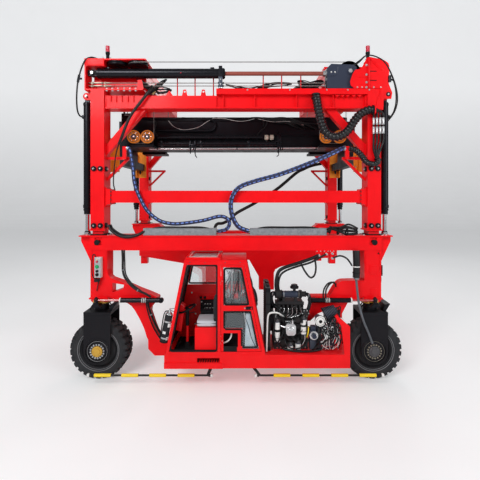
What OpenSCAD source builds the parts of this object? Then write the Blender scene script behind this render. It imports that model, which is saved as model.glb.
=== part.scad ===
// Three-wheeled telescopic container gantry crane with a twenty foot spreader.
// X runs along the direction of travel, Y from the cab side to the far side, Z up.
// The origin lies on the ground below the middle of the whole machine.

/* [Stance] */
// Half the distance between the masts along the direction of travel
leg_x = 2970; // [2900:10:3200]
// Distance between the two rows of masts, across the container
row_pitch = 3800; // [3600:50:4400]
// Half the distance between the two near king pins
king_x = 2940; // [2900:10:3000]

/* [Wheels] */
// Outside diameter of a tyre
tyre_d = 1250; // [1150:10:1300]
// Width of a tyre
tyre_w = 450; // [400:10:460]
// Diameter of the rim inside the tyre
rim_d = 760; // [700:10:800]

/* [Masts] */
// Outside width of a lifting sleeve along X
sleeve_x = 290; // [270:5:320]
// Outside width of a lifting sleeve along Y
sleeve_y = 400; // [340:5:420]
// Plate thickness of a sleeve
sleeve_wall = 14; // [10:1:20]
// Room for the wear pads between mast and sleeve
pad_gap = 18; // [12:1:25]
// Stroke of the lift
lift_stroke = 1500; // [1000:50:1700]
// Height of the sleeves above their bottom flanges
sleeve_h = 3020; // [2800:20:3200]
// Diameter of a wear pad adjuster
adjuster_d = 110; // [80:5:130]

/* [Chassis] */
// Clearance between the cab's roof rail and the chassis beam above it
roof_clear = 145; // [120:5:220]
// Height of the box beam under that plate
beam_h = 295; // [260:5:340]
// Width of the chassis box beams along Y
beam_w = 440; // [400:10:460]
// Thickness of the top plates
plate_t = 25; // [16:1:30]
// Width of a lower leg along X
low_leg_x = 360; // [300:10:380]
// Width of a lower leg along Y
low_leg_y = 380; // [340:10:400]
// Height of the underside of the lower legs' flanges
leg_foot_z = 1710; // [1690:5:1760]

/* [Lift cylinders] */
// Distance of the lift cylinders outside the mast centres
lift_out = 290; // [270:5:310]
// Outside diameter of a lift cylinder
lift_d = 163; // [140:1:180]
// Diameter of a lift rod
rod_d = 85; // [70:1:95]

/* [Hoist] */
// Outside diameter of the hoist cylinder
hoist_d = 210; // [190:5:240]
// Diameter of the hoist rod
hoist_rod_d = 90; // [70:5:100]
// Height of the hoist cylinder's axis above the top of the sleeves
hoist_up = 400; // [370:5:430]
// Pitch diameter of the sheave in the moving block
block_sheave_d = 460; // [400:10:480]
// Diameter of the wire rope
rope_d = 18; // [12:1:24]

/* [Spreader] */
// Distance of the twistlocks from the middle along X, from the container standard
lock_x = 2926.5; // [2926:0.5:2927]
// Distance of the twistlocks from the middle along Y, from the container standard
lock_y = 1129.5; // [1129:0.5:1130]
// Height of the face that lands on a container above the bottom of the sleeves
land_up = 1520; // [1470:10:1570]
// Height of the spreader's main box
spreader_h = 770; // [600:10:800]
// Width of the spreader's main box along Y
spreader_w = 1000; // [800:20:1100]
// Pitch diameter of a spreader sheave
spreader_sheave_d = 300; // [240:10:320]
// Distance of the spreader sheaves from the middle along Y
spreader_sheave_y = 900; // [860:10:940]

/* [Platform and cab] */
// Distance of the platform's front from the near row of masts
platform_front = 800; // [760:5:840]
// Depth of the platform from front to back
platform_d = 1150; // [1100:10:1160]
// Height of the platform's underside
platform_z = 500; // [460:10:520]
// Height of the platform's box
platform_h = 265; // [240:5:280]
// Height of the cab's roof rail above the platform
cab_h = 1850; // [1800:10:1900]
// Depth of the cab from front to back
cab_d = 1080; // [1000:10:1100]
// Width of the cab's pillars
pillar = 60; // [50:2:66]
// Thickness of the cab's glass
glass_t = 6; // [5:1:8]

/* [Hidden] */
$fn = 48;

handle_out = 30;
fork_gap = 40;
fork_t = 34;
near_reach = platform_front + handle_out;
hub_d = 180;
far_reach = tyre_w / 2 + fork_gap + fork_t;
mid_y = (near_reach - far_reach) / 2;
platform_top = platform_z + platform_h;
cab_top = platform_top + cab_h;
chassis_z = cab_top + roof_clear + beam_h + plate_t;
near_y = mid_y - row_pitch / 2;
far_y = mid_y + row_pitch / 2;
run_gap = 5;
seat_gap = 0.3;
wheel_r = tyre_d / 2;
beam_z = chassis_z - plate_t - beam_h;
beam_half = king_x + low_leg_x / 2;
lift_x = leg_x + lift_out;
mast_x = sleeve_x - 2 * (sleeve_wall + pad_gap);
mast_y = sleeve_y - 2 * (sleeve_wall + pad_gap);
sleeve_z = chassis_z + 100;
sleeve_top = sleeve_z + sleeve_h;
hoist_z = sleeve_top + hoist_up;
land_z = sleeve_z + land_up;
mast_top = sleeve_top - 250;
leg_inner = leg_x - sleeve_x / 2;
plate_out = lift_x + 90;
mid_beam_z = sleeve_z + 600;
mid_beam_h = 260;
joint_x = leg_inner - 95;
top_beam_z = sleeve_top - 390;
top_beam_h = 280;
duct_z = sleeve_top - 510;
front_y = near_y - platform_front;
cab_back = front_y + cab_d;
platform_left = -1410;
platform_right = 2280;
red = "#e8141c";
dark_red = "#b00f16";
black = "#1a1b1f";
steel = "#c9ccd2";
grey = "#4a505c";
orange = "#f08a1c";

module block(lo, hi) {
    translate(lo) cube(hi - lo);
}

module both_sides() {
    children();
    mirror([1, 0, 0]) children();
}

module both_rows() {
    translate([0, mid_y, 0]) {
        children();
        mirror([0, 1, 0]) children();
    }
}

module plate_xz(y_0, y_1) {
    translate([0, y_1, 0]) rotate([90, 0, 0]) linear_extrude(y_1 - y_0) children();
}

module rod_x(x_0, x_1, d) {
    translate([x_0, 0, 0]) rotate([0, 90, 0]) cylinder(d = d, h = x_1 - x_0);
}

module rod_y(y_0, y_1, d) {
    translate([0, y_0, 0]) rotate([-90, 0, 0]) cylinder(d = d, h = y_1 - y_0);
}

function cat_rom(a, b, c, d, t) =
    0.5 * (2 * b + (c - a) * t + (2 * a - 5 * b + 4 * c - d) * t * t + (3 * b - a - 3 * c + d) * t * t * t);

function smooth_path(pts, n) = [
    for (i = [0:len(pts) - 2])
        for (k = [0:n - 1])
            cat_rom(pts[max(i - 1, 0)], pts[i], pts[i + 1], pts[min(i + 2, len(pts) - 1)], k / n),
    pts[len(pts) - 1]
];

function unit(v) = v / norm(v);

function along_axis(v) =
    let (longest = max(abs(v[0]), abs(v[1]), abs(v[2])))
        [for (c = v) abs(c) == longest ? sign(c) : 0];

function path_dir(p, i) =
    i == 0 ? along_axis(p[1] - p[0])
    : i == len(p) - 1 ? along_axis(p[i] - p[i - 1])
    : unit(p[i + 1] - p[i - 1]);

module tube_along(path, d, sides) {
    up = [0, 1, 0];
    rings = [
        for (i = [0:len(path) - 1])
            let (t = path_dir(path, i), u = unit(cross(t, up)), v = cross(u, t))
                for (k = [0:sides - 1])
                    path[i] + d / 2 * (cos(360 * k / sides) * u + sin(360 * k / sides) * v)
    ];
    walls = [
        for (i = [0:len(path) - 2])
            for (k = [0:sides - 1])
                let (a = i * sides + k, b = i * sides + (k + 1) % sides)
                    [a, b, b + sides, a + sides]
    ];
    first = [for (k = [sides - 1:-1:0]) k];
    last = [for (k = [0:sides - 1]) (len(path) - 1) * sides + k];
    polyhedron(points = rings, faces = concat(walls, [first], [last]), convexity = 6);
}

module chassis_plate(y, z) {
    block([-plate_out, y - beam_w / 2 - 25, z - plate_t], [plate_out, y + beam_w / 2 + 25, z]);
}

module outer_gusset(y, z) {
    plate_xz(y - 120, y + 120)
        polygon([
            [beam_half, z - plate_t], [plate_out, z - plate_t],
            [plate_out, z - 130], [beam_half, z - 620]
        ]);
}

module near_chassis_beam() {
    pocket = 80;
    color(red) {
        difference() {
            block([-beam_half, near_y - beam_w / 2, beam_z], [beam_half, near_y + beam_w / 2, chassis_z - plate_t]);
            both_sides() {
                block(
                    [king_x - pocket, near_y - beam_w / 2 - 1, beam_z + 110],
                    [king_x + pocket, near_y - beam_w / 2 + 40, chassis_z - plate_t - 20]
                );
                translate([king_x, 0, chassis_z - 130]) rod_y(near_y - beam_w / 2, near_y, 70);
            }
        }
        chassis_plate(near_y, chassis_z);
        both_sides() outer_gusset(near_y, chassis_z);
    }
}

module lower_leg(x, y, foot_z, top_z) {
    flange = 30;
    difference() {
        lower_leg_body(x, y, foot_z, top_z, flange);
        translate([x, y, foot_z - ring_h - 1]) cylinder(d = king_pin_d + 2 * seat_gap, h = king_pin_h + 5);
    }
}

module lower_leg_body(x, y, foot_z, top_z, flange) {
    block([x - low_leg_x / 2, y - low_leg_y / 2, foot_z + flange], [x + low_leg_x / 2, y + low_leg_y / 2, top_z]);
    block(
        [x - low_leg_x / 2 - 25, y - low_leg_y / 2 - 25, foot_z],
        [x + low_leg_x / 2 + 25, y + low_leg_y / 2 + 25, foot_z + flange]
    );
    translate([x, y, foot_z - ring_h]) cylinder(d = ring_d, h = ring_h);
}

module near_lower_legs() {
    color(red) both_sides() lower_leg(king_x, near_y, leg_foot_z, beam_z);
}

module masts(y) {
    color(dark_red)
        both_sides()
            block(
                [leg_x - mast_x / 2, y - mast_y / 2, chassis_z],
                [leg_x + mast_x / 2, y + mast_y / 2, mast_top]
            );
}

module near_masts() {
    masts(near_y);
}

module far_masts() {
    masts(far_y);
}

ring_d = 460;
ring_h = 60;
king_pin_d = 120;
king_pin_h = 85;
rod_top = chassis_z + 450 + lift_stroke + 250;

module lift_rods(y) {
    color(steel)
        both_sides() translate([lift_x, y, chassis_z]) {
            cylinder(d = rod_d, h = rod_top - chassis_z);
            cylinder(d = rod_d + 50, h = 60);
        }
}

module near_lift_rods() {
    lift_rods(near_y);
}

module far_lift_rods() {
    lift_rods(far_y);
}

arm_y0 = near_y - low_leg_y / 2;
arm_y1 = near_y + 60;
leg_face = king_x - low_leg_x / 2;

function over(z, points) = [for (p = points) [p[0], z + p[1]]];

module left_arm() {
    color(red)
        plate_xz(arm_y0, arm_y1)
            difference() {
                polygon(concat(
                    smooth_path(over(leg_foot_z, [
                        [-leg_face, 640], [-2730, 510], [-2657, 438], [-2473, 373], [-2316, 309],
                        [-2082, 204], [-1874, 126], [-1670, 36]
                    ]), 2),
                    over(leg_foot_z, [
                        [-1666, -5], [-1835, -200], [-1848, -290], [-1771, -524], [-1700, -710]
                    ]),
                    [
                        [platform_left - 150, platform_top + 25], [platform_left, platform_top],
                        [platform_left, platform_z], [platform_left - 330, platform_z],
                        [platform_left - 470, platform_z + 146], [platform_left - 472, platform_z + 338]
                    ],
                    smooth_path(over(leg_foot_z, [
                        [-1913, -811], [-1979, -603], [-2108, -343], [-2239, -146], [-2395, -56],
                        [-2498, -30], [-leg_face, 50]
                    ]), 2)
                ));
                polygon(over(leg_foot_z, [[-2650, 350], [-2650, 140], [-2420, 220], [-2400, 310]]));
            }
}

module right_arm() {
    color(red)
        plate_xz(arm_y0, arm_y1)
            polygon(concat(
                smooth_path(over(leg_foot_z, [
                    [leg_face, 400], [2420, 398], [2233, 371], [2126, 243], [2050, 120], [2018, 60]
                ]), 3),
                over(leg_foot_z, [
                    [1568, 60], [1568, 10], [1640, -60], [1525, -464], [1600, -464], [1760, -310],
                    [1900, -250], [2030, -270], [2100, -330]
                ]),
                [[platform_right - 180, platform_top], [platform_right, platform_top]],
                over(leg_foot_z, [[platform_right, -310], [2404, -70], [leg_face, 50]])
            ));
}

lip_out = 25;

module platform() {
    step_x0 = -760;
    step_x1 = -310;
    color(red) {
        difference() {
            block(
                [platform_left, front_y, platform_z],
                [platform_right, front_y + platform_d, platform_top]
            );
            block([step_x0, front_y - 1, platform_z + 115], [step_x1, front_y + 160, platform_z + 205]);
        }
        block(
            [platform_left, front_y - lip_out, platform_z],
            [bay_x + 75, front_y, platform_z + 110]
        );
        plate_xz(front_y, front_y + 40)
            polygon(over(platform_top, [
                [platform_right - 110, 0], [platform_right, 0], [platform_right, 560],
                [platform_right - 270, 790], [platform_right - 300, 760], [platform_right - 170, 560]
            ]));
    }
}

cab_l = platform_left + 20;
cab_r = 600;
cab_slope = 375;
bay_x = -320;

module cab_outline(inset) {
    z_0 = platform_top + inset;
    z_1 = cab_top - inset;
    polygon([
        [cab_left_at(z_0) + inset, z_0], [cab_right_at(z_0) - inset, z_0],
        [cab_right_at(z_1) - inset, z_1], [cab_left_at(z_1) + inset, z_1]
    ]);
}

module cab_end(y_0) {
    plate_xz(y_0, y_0 + pillar)
        difference() {
            cab_outline(0);
            cab_outline(pillar);
        }
}

door_gap = 8;
door_x0 = bay_x + pillar / 2 + door_gap;

function cab_right_at(z) = cab_r - cab_slope * (z - platform_top) / cab_h;
function cab_left_at(z) = cab_l + cab_slope * (z - platform_top) / cab_h;

module cab_frame() {
    rail_z = platform_top + 1170;
    color(red) {
        cab_end(front_y);
        cab_end(cab_back - pillar);
        block(
            [bay_x - pillar / 2, front_y, platform_top + pillar],
            [bay_x + pillar / 2, front_y + pillar, cab_top - pillar]
        );
        for (z = [platform_top, cab_top - pillar]) {
            block(
                [cab_left_at(z + pillar), front_y + pillar, z],
                [cab_left_at(z + pillar) + pillar, cab_back - pillar, z + pillar]
            );
            block(
                [cab_right_at(z + pillar) - pillar, front_y + pillar, z],
                [cab_right_at(z + pillar), cab_back - pillar, z + pillar]
            );
        }
        for (z = hinge_zs) {
            translate([hinge_x, hinge_y, z]) cylinder(d = knuckle_d, h = knuckle_h);
            block([hinge_x - 34, hinge_y, z], [hinge_x, hinge_y + 6, z + knuckle_h]);
            block([hinge_x - 34, hinge_y, z], [hinge_x - 14, front_y, z + knuckle_h]);
        }
        plate_xz(cab_back - pillar, cab_back - pillar + 20)
            intersection() {
                cab_outline(pillar);
                translate([cab_l, platform_top]) square([cab_r - cab_l, rail_z - platform_top]);
            }
    }
}

hinge_x = bay_x + pillar / 2 + door_gap / 2;
hinge_y = front_y - 14;
knuckle_d = 24;
knuckle_h = 60;
hinge_zs = [platform_top + 260, platform_top + 1450];

hatch_top = cab_top + 75;

module cab_roof() {
    x_0 = cab_left_at(cab_top);
    x_1 = cab_right_at(cab_top);
    color(red)
        difference() {
            union() {
                block([x_0, front_y, cab_top], [x_1, cab_back, cab_top + 25]);
                block([x_0 + 20, front_y + 60, cab_top + 25], [bay_x + 20, cab_back - 60, hatch_top]);
            }
            block([x_0 + 100, front_y + 140, cab_top - 1], [bay_x - 60, cab_back - 140, hatch_top + 1]);
        }
}

module cab_glass() {
    color("#bcd4dc", 0.4)
        block(
            [cab_left_at(cab_top) + 100 + seat_gap, front_y + 140 + seat_gap, hatch_top - 40],
            [bay_x - 60 - seat_gap, cab_back - 140 - seat_gap, hatch_top - 40 + glass_t]
        );
    color("#bcd4dc", 0.4)
        plate_xz(cab_back - pillar / 2, cab_back - pillar / 2 + glass_t)
            difference() {
                cab_outline(pillar + seat_gap);
                translate([-3000, 0]) square([6000, platform_top + 1170 + seat_gap]);
            }
}

module cab_console() {
    column_h = 800;
    color(red)
        block([-810, front_y + pillar, platform_top], [bay_x - pillar / 2, front_y + 640, platform_top + 520]);
    color(black) {
        translate([-1010, front_y + 420, platform_top]) cylinder(d = 60, h = column_h);
        translate([-1010, front_y + 420, platform_top + column_h]) rotate([0, -25, 0]) {
            rotate_extrude() translate([170, 0]) circle(d = 34);
            translate([0, 0, -10]) cylinder(d = 90, h = 30);
            for (a = [90, 210, 330]) rotate([0, 0, a]) translate([0, -12, 0]) cube([165, 24, 14]);
        }
    }
}

module driver_seat() {
    x_0 = -780;
    z_0 = platform_top + 520;
    color(black) {
        block([x_0, front_y + 80, z_0 + seat_gap], [x_0 + 430, front_y + 560, z_0 + 140]);
        block([x_0 + 330, front_y + 80, z_0 + 140], [x_0 + 430, front_y + 560, z_0 + 560]);
    }
}

engine_x = 850;
engine_y = front_y + 300;
filter_d = 110;
filters = [
    [engine_x + 5, 440, platform_top + 610], [engine_x + 540, 330, platform_top + 660],
    [engine_x + 270, 120, platform_top + 130], [engine_x + 430, 150, platform_top + 170]
];
cleaner_z = platform_top + 1140;

module engine() {
    color(black) {
        difference() {
            block([engine_x - 60, engine_y, platform_top], [engine_x + 640, engine_y + 560, platform_top + 520]);
            for (x = [90, 250, 410])
                block(
                    [engine_x + x, engine_y - 1, platform_top + 220],
                    [engine_x + x + 110, engine_y + 40, platform_top + 460]
                );
        }
        block([engine_x, engine_y + 60, platform_top + 520], [engine_x + 560, engine_y + 480, platform_top + 900]);
        block([engine_x + 30, engine_y + 20, platform_top + 900], [engine_x + 540, engine_y + 300, platform_top + 985]);
        translate([engine_x - 30, engine_y - 20, cleaner_z]) {
            rod_x(0, 130, 165);
            rod_x(130, 480, 130);
            rod_x(480, 540, 165);
            rod_x(540, 620, 110);
        }
        for (x = [110, 360])
            block(
                [engine_x + x, engine_y - 60, platform_top + 985],
                [engine_x + x + 50, engine_y + 60, cleaner_z - 40]
            );
        for (f = filters)
            block(
                [f[0] - filter_d / 2, engine_y - 70 - filter_d / 2, f[2]],
                [f[0] + filter_d / 2, engine_y + 80, f[2] + 50]
            );
        translate([engine_x + 360, engine_y - 20, cleaner_z]) {
            cylinder(d = 60, h = 190);
            translate([0, 0, 120]) cylinder(d = 170, h = 40);
            translate([0, 0, 160]) cylinder(d = 120, h = 40);
        }
        translate([engine_x + 250, engine_y, platform_top + 460]) {
            rod_y(-110, 80, 190);
            rod_y(-140, -110, 120);
        }
        translate([engine_x + 420, engine_y, platform_top + 640]) rod_y(-90, 80, 120);
    }
}

module radiator() {
    x_0 = engine_x - 230;
    color(black) {
        difference() {
            block([x_0, front_y + 200, platform_top], [x_0 + 90, front_y + 1060, platform_top + 1280]);
            block([x_0 + 60, front_y + 260, platform_top + 90], [x_0 + 91, front_y + 1000, platform_top + 1190]);
        }
        block([x_0 + 20, front_y + 300, platform_top + 1280], [x_0 + 80, front_y + 700, platform_top + 1330]);
    }
}

module hydraulics() {
    pump_x = 1590;
    color(grey) {
        translate([pump_x, engine_y - 40, platform_top + 330]) {
            rod_y(-110, 200, 170);
            rod_y(-160, -110, 90);
        }
        block([pump_x - 60, engine_y - 60, platform_top], [pump_x + 60, engine_y + 140, platform_top + 270]);
        translate([pump_x + 130, engine_y - 30, platform_top + 620]) {
            rod_y(-120, -60, 210);
            rod_y(-60, 160, 120);
        }
        block([pump_x + 80, engine_y, platform_top], [pump_x + 180, engine_y + 160, platform_top + 580]);
        block([1790, engine_y - 30, platform_top + 300], [2080, engine_y + 160, platform_top + 520]);
        block([1830, engine_y + 10, platform_top], [2040, engine_y + 140, platform_top + 300]);
        for (x = [1830, 1900, 1970, 2040])
            translate([x, engine_y + 60, platform_top + 520]) cylinder(d = 44, h = 90);
        translate([1850, engine_y + 60, platform_top + 690]) rotate([0, 62, 0]) cylinder(d1 = 300, d2 = 180, h = 260);
        block([1900, engine_y + 40, platform_top + 520], [2000, engine_y + 110, platform_top + 720]);
    }
    color("white")
        for (f = filters)
            translate([f[0], engine_y - 70, f[2] - f[1]]) cylinder(d = filter_d, h = f[1]);
}

bar_y = near_y - 560;
bar_z = 250;
bar_d = 40;

module safety_bar(x_0, x_1, sleeves) {
    translate([0, bar_y, bar_z]) {
        rod_x(x_0, x_1, bar_d);
        for (x = sleeves) rod_x(x - 170, x + 170, bar_d + 30);
        for (x = [x_0 - 30, x_1 - 30]) rod_x(x, x + 60, bar_d + 20);
    }
}

module safety_bars() {
    color("yellow") {
        safety_bar(-king_x - 30, -520, [-2720, -2160, -1590, -1010]);
        safety_bar(450, king_x + 30, [950, 1540, 2130, 2710]);
    }
    color(black)
        plate_xz(bar_y - 12, bar_y + 12) {
            polygon([[-600, bar_z], [-540, bar_z], [-420, platform_z], [-500, platform_z]]);
            polygon([[470, bar_z], [530, bar_z], [340, platform_z], [260, platform_z]]);
        }
}

tray_left = 420;
tray_right = 300;
tray_h = 150;

module cable_trays() {
    tray_y = near_y - 140;
    color("#9aa0a4") {
        block([-1980, tray_y - 80, chassis_z], [-tray_left, tray_y + 80, chassis_z + tray_h]);
        block([tray_right, tray_y - 80, chassis_z], [1940, tray_y + 80, chassis_z + tray_h]);
    }
}

steer_z = 1725;
steer_y = near_y - 330;
barrel_inner = 1600;
barrel_outer = 2430;
steer_barrel_d = 100;
steer_rod_d = 50;

module steering_barrels() {
    color(black)
        both_sides() translate([0, steer_y, steer_z]) {
            difference() {
                rod_x(barrel_inner, barrel_outer, steer_barrel_d);
                rod_x(barrel_inner + 120, barrel_outer + 1, steer_rod_d + 2 * seat_gap);
            }
            block([barrel_inner + 20, 0, -25], [barrel_inner + 100, arm_y0 - steer_y, 25]);
        }
}

module service_boxes() {
    color("white")
        block(
            [-king_x - 60, near_y - low_leg_y / 2 - 90, beam_z - 570],
            [-king_x + 80, near_y - low_leg_y / 2, beam_z - 140]
        );
    bottle_d = 150;
    color(black)
        translate([cab_l, front_y + pillar / 2, platform_top]) rotate([0, atan(cab_slope / cab_h), 0]) {
            translate([-bottle_d / 2 - 12, 0, 240]) cylinder(d = bottle_d, h = 560);
            for (z = [380, 640])
                block([-bottle_d / 2, -25, z], [-seat_gap, 25, z + 40]);
        }
}

module sleeve(y) {
    stub_r = 95;
    z_m = mid_beam_z + mid_beam_h / 2;
    difference() {
        block(
            [leg_x - sleeve_x / 2, y - sleeve_y / 2, sleeve_z],
            [leg_x + sleeve_x / 2, y + sleeve_y / 2, sleeve_top]
        );
        block(
            [leg_x - sleeve_x / 2 + sleeve_wall, y - sleeve_y / 2 + sleeve_wall, sleeve_z - 1],
            [leg_x + sleeve_x / 2 - sleeve_wall, y + sleeve_y / 2 - sleeve_wall, sleeve_top - plate_t]
        );
    }
    difference() {
        block(
            [leg_x - sleeve_x / 2 - 25, y - sleeve_y / 2 - 25, sleeve_z],
            [leg_x + sleeve_x / 2 + 25, y + sleeve_y / 2 + 25, sleeve_z + plate_t]
        );
        block(
            [leg_x - sleeve_x / 2 + sleeve_wall, y - sleeve_y / 2 + sleeve_wall, sleeve_z - 1],
            [leg_x + sleeve_x / 2 - sleeve_wall, y + sleeve_y / 2 - sleeve_wall, sleeve_z + plate_t + 1]
        );
    }
    plate_xz(y - 150, y + 150)
        difference() {
            translate([joint_x, z_m - 255]) square([stub_r, 510]);
            translate([joint_x, z_m - 255]) circle(stub_r);
            translate([joint_x, z_m + 255]) circle(stub_r);
        }
}

module near_sleeves() {
    color(red) both_sides() sleeve(near_y);
}

module far_sleeves() {
    color(red) both_sides() sleeve(far_y);
}

module mid_beam(y) {
    color(red) {
        block([-joint_x, y - 130, mid_beam_z], [joint_x, y + 130, mid_beam_z + mid_beam_h]);
        both_sides()
            block([joint_x - 25, y - 165, mid_beam_z - 35], [joint_x, y + 165, mid_beam_z + mid_beam_h + 35]);
    }
}

module near_mid_beam() {
    mid_beam(near_y);
}

module far_mid_beam() {
    mid_beam(far_y);
}

module top_beam(y) {
    block([-leg_inner, y - 150, top_beam_z + plate_t], [leg_inner, y + 150, top_beam_z + top_beam_h]);
    block([-leg_inner, y - 170, top_beam_z], [leg_inner, y + 170, top_beam_z + plate_t]);
}

deep_x0 = -420;
deep_top = sleeve_top + 30;

module near_top_beam() {
    color(red) {
        difference() {
            top_beam(near_y);
            block([deep_x0, near_y - 151, top_beam_z + plate_t], [leg_inner - 40, near_y - 90, deep_top]);
        }
        block([deep_x0, near_y - 90, top_beam_z + top_beam_h], [leg_inner, near_y + 150, deep_top - 120]);
        block([deep_x0, near_y - 200, deep_top - 120], [leg_inner, near_y + 200, deep_top]);
        for (x = [-270, 407, 1308, 2096])
            block([x - 8, near_y - 165, top_beam_z + plate_t], [x + 8, near_y - 90, deep_top - 120]);
        for (x = [-1125, -715])
            plate_xz(near_y - 12, near_y + 12)
                difference() {
                    polygon(over(top_beam_z + top_beam_h, [
                        [x - 68, 0], [x + 68, 0], [x + 30, 170], [x - 30, 170]
                    ]));
                    translate([x, top_beam_z + top_beam_h + 125]) circle(d = 44);
                }
    }
}

module far_top_beam() {
    color(red) top_beam(far_y);
}

cross_z = sleeve_top + 250;
cross_h = 400;
cross_y0 = near_y + 90;
cross_x0 = 1990;
cross_x1 = 3150;
step_h = 230;

module cross_beam() {
    block([cross_x0, cross_y0, cross_z], [cross_x1, far_y + sleeve_y / 2, cross_z + step_h]);
    block([cross_x0, cross_y0 + 160, cross_z + step_h], [cross_x1, far_y + sleeve_y / 2, cross_z + cross_h]);
    block([leg_inner, far_y - 150, sleeve_top], [leg_x + sleeve_x / 2, far_y + sleeve_y / 2, cross_z]);
    pin_lugs(far_y);
}

module cross_beams() {
    color(red) both_sides() cross_beam();
}

module brace(y) {
    plate_xz(y - 75, y + 75)
        polygon([
            [2172, top_beam_z], [1948, top_beam_z], [leg_inner, top_beam_z - 1010], [leg_inner, top_beam_z - 770]
        ]);
}

bracket_z = sleeve_z + 1540;
clamp_x = 2370;
clamp_w = 80;

module hose_bracket(y) {
    plate_xz(y - 40, y + 40) {
        translate([2330, bracket_z]) square([leg_inner - 2330, 60]);
        polygon(over(bracket_z, [[2350, 0], [2420, 0], [leg_inner, -400], [leg_inner, -470]]));
    }
}

module hose_clamp() {
    block([clamp_x, near_y - 140, bracket_z], [clamp_x + clamp_w, near_y - 40, bracket_z + 60]);
    block([clamp_x, near_y - 140, bracket_z + 60], [clamp_x + clamp_w, near_y - 60, bracket_z + 280]);
}

module corner_braces() {
    color(red)
        for (y = [near_y, far_y])
            both_sides() {
                brace(y);
                hose_bracket(y);
            }
    color(red) both_sides() hose_clamp();
}

pin_z = sleeve_top - 100;
lug_t = 18;
eye_t = 60;

module pin_lugs(y) {
    for (s = [-1, 1])
        translate([0, s * (eye_t / 2 + seat_gap + lug_t / 2), 0])
            plate_xz(y - lug_t / 2, y + lug_t / 2)
                difference() {
                    union() {
                        translate([leg_x + sleeve_x / 2, pin_z - 80]) square([lift_out - sleeve_x / 2, 160]);
                        translate([lift_x, pin_z]) circle(80);
                    }
                    translate([lift_x, pin_z]) circle(d = 50 + 2 * seat_gap);
                }
}

cover_z = cross_z + cross_h;

module left_tower() {
    tower_l = -3250;
    tower_r = -cross_x0;
    back_y = cross_y0;
    color(red) {
        block([tower_l, near_y - 190, sleeve_top], [tower_r, near_y + 200, sleeve_top + 30]);
        block([tower_l, near_y - 190, sleeve_top + 30], [tower_l + 25, near_y + 160, sleeve_top + 680]);
        block([tower_l + 25, back_y, sleeve_top + 30], [tower_r - 100, back_y + 20, cross_z]);
        block([-leg_x - 140, back_y + 20, sleeve_top + 30], [-leg_inner, near_y + 200, cross_z]);
        plate_xz(near_y - 150, near_y - 130)
            polygon([
                [tower_r - 130, sleeve_top + 30], [tower_r, sleeve_top + 30],
                [tower_r - 40, sleeve_top + 230], [tower_r - 130, sleeve_top + 230]
            ]);
        block([tower_l + 25, near_y - 190, hoist_z + hoist_d / 2 + 15], [-2830, back_y, sleeve_top + 680]);
        block([-2830, near_y - 190, cover_z], [-1930, near_y + 400, cover_z + plate_t]);
        mirror([1, 0, 0]) pin_lugs(near_y);
    }
}

duct_d = 170;
duct_x1 = 2920;

module duct_end() {
    z_0 = duct_z + 55;
    block([duct_x1, near_y - 390, z_0 - 90], [duct_x1 + 20, near_y - sleeve_y / 2, z_0 + 90]);
    block([duct_x1, near_y - 240, z_0 + 30], [duct_x1 + 140, near_y - sleeve_y / 2 - 10, z_0 + 90]);
}

module tower_plate(y) {
    plate_xz(y - 10, y + 10)
        polygon(over(sleeve_top, [
            [2533, 30], [2455, 100], [2447, 189], [2500, 340], [2554, 425], [2683, 446],
            [2800, 680], [2860, 700], [3120, 650], [3197, 617], [3260, 570], [3283, 510],
            [3272, 125], [3347, -68], [3326, -197], [3165, -197], [3154, -433],
            [3004, -410], [3026, -220], [3090, -90], [3090, 30]
        ]));
}

module right_tower() {
    color(red) {
        tower_plate(near_y - sleeve_y / 2 - 10);
        block([leg_inner, near_y - sleeve_y / 2, sleeve_top], [3115, cross_y0, cover_z + plate_t]);
        block([leg_inner, cross_y0, sleeve_top], [3115, near_y + 200, cross_z]);
        pin_lugs(near_y);
        duct_end();
    }
}

hoist_x0 = -3015;
hoist_x1 = -250;
hoist_y = near_y - 40;
block_x0 = 1970;
block_sheave_x = block_x0 + 500;
sheave_up = 24;

module hoist_cylinder() {
    translate([0, hoist_y, hoist_z]) {
        color(black) {
            difference() {
                rod_x(hoist_x0, hoist_x1, hoist_d);
                rod_x(hoist_x0 + 120, hoist_x1 - 150, hoist_d - 50);
                rod_x(hoist_x1 - 160, hoist_x1 + 1, hoist_rod_d + 2 * seat_gap);
            }
            block([hoist_x0 - 210, -45, -60], [hoist_x0, 45, 60]);
        }
        color("#8e9196")
            difference() {
                block([hoist_x1 - 120, -140, deep_top - hoist_z], [hoist_x1 - 40, 140, hoist_d / 2 + 20]);
                rod_x(hoist_x1 - 121, hoist_x1 - 39, hoist_d);
            }
    }
}

module lift_cylinders() {
    gland_z = chassis_z + 450;
    tube_z = gland_z + 130;
    tube_top = pin_z - 130;
    color(black)
        for (y = [near_y, far_y])
            both_sides() translate([lift_x, y, 0]) {
                difference() {
                    union() {
                        translate([0, 0, tube_z]) cylinder(d = lift_d, h = tube_top - tube_z);
                        translate([0, 0, gland_z]) cylinder(d = lift_d - 16, h = tube_z - gland_z);
                    }
                    translate([0, 0, tube_z + 60]) cylinder(d = lift_d - 40, h = tube_top - tube_z - 100);
                    translate([0, 0, gland_z - 1]) cylinder(d = rod_d + 2 * seat_gap, h = 200);
                }
                block([-45, -eye_t / 2, tube_top], [45, eye_t / 2, pin_z]);
                translate([0, 0, pin_z]) {
                    rod_y(-eye_t / 2, eye_t / 2, 110);
                    rod_y(-eye_t / 2 - lug_t - 12, eye_t / 2 + lug_t + 12, 50);
                }
            }
}

module sheave(r, w, groove, bore) {
    difference() {
        rotate_extrude()
            difference() {
                translate([bore, -w / 2]) square([r + groove - bore, w]);
                translate([r + groove, 0]) circle(groove);
            }
    }
}

module tower_sheaves() {
    color(black)
        for (x = [-2600, -2150])
            translate([x, near_y + 10, cover_z - 50]) {
                sheave(200, 60, 20, 40);
                translate([0, 0, -40]) cylinder(d = 80, h = 90);
            }
}

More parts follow.
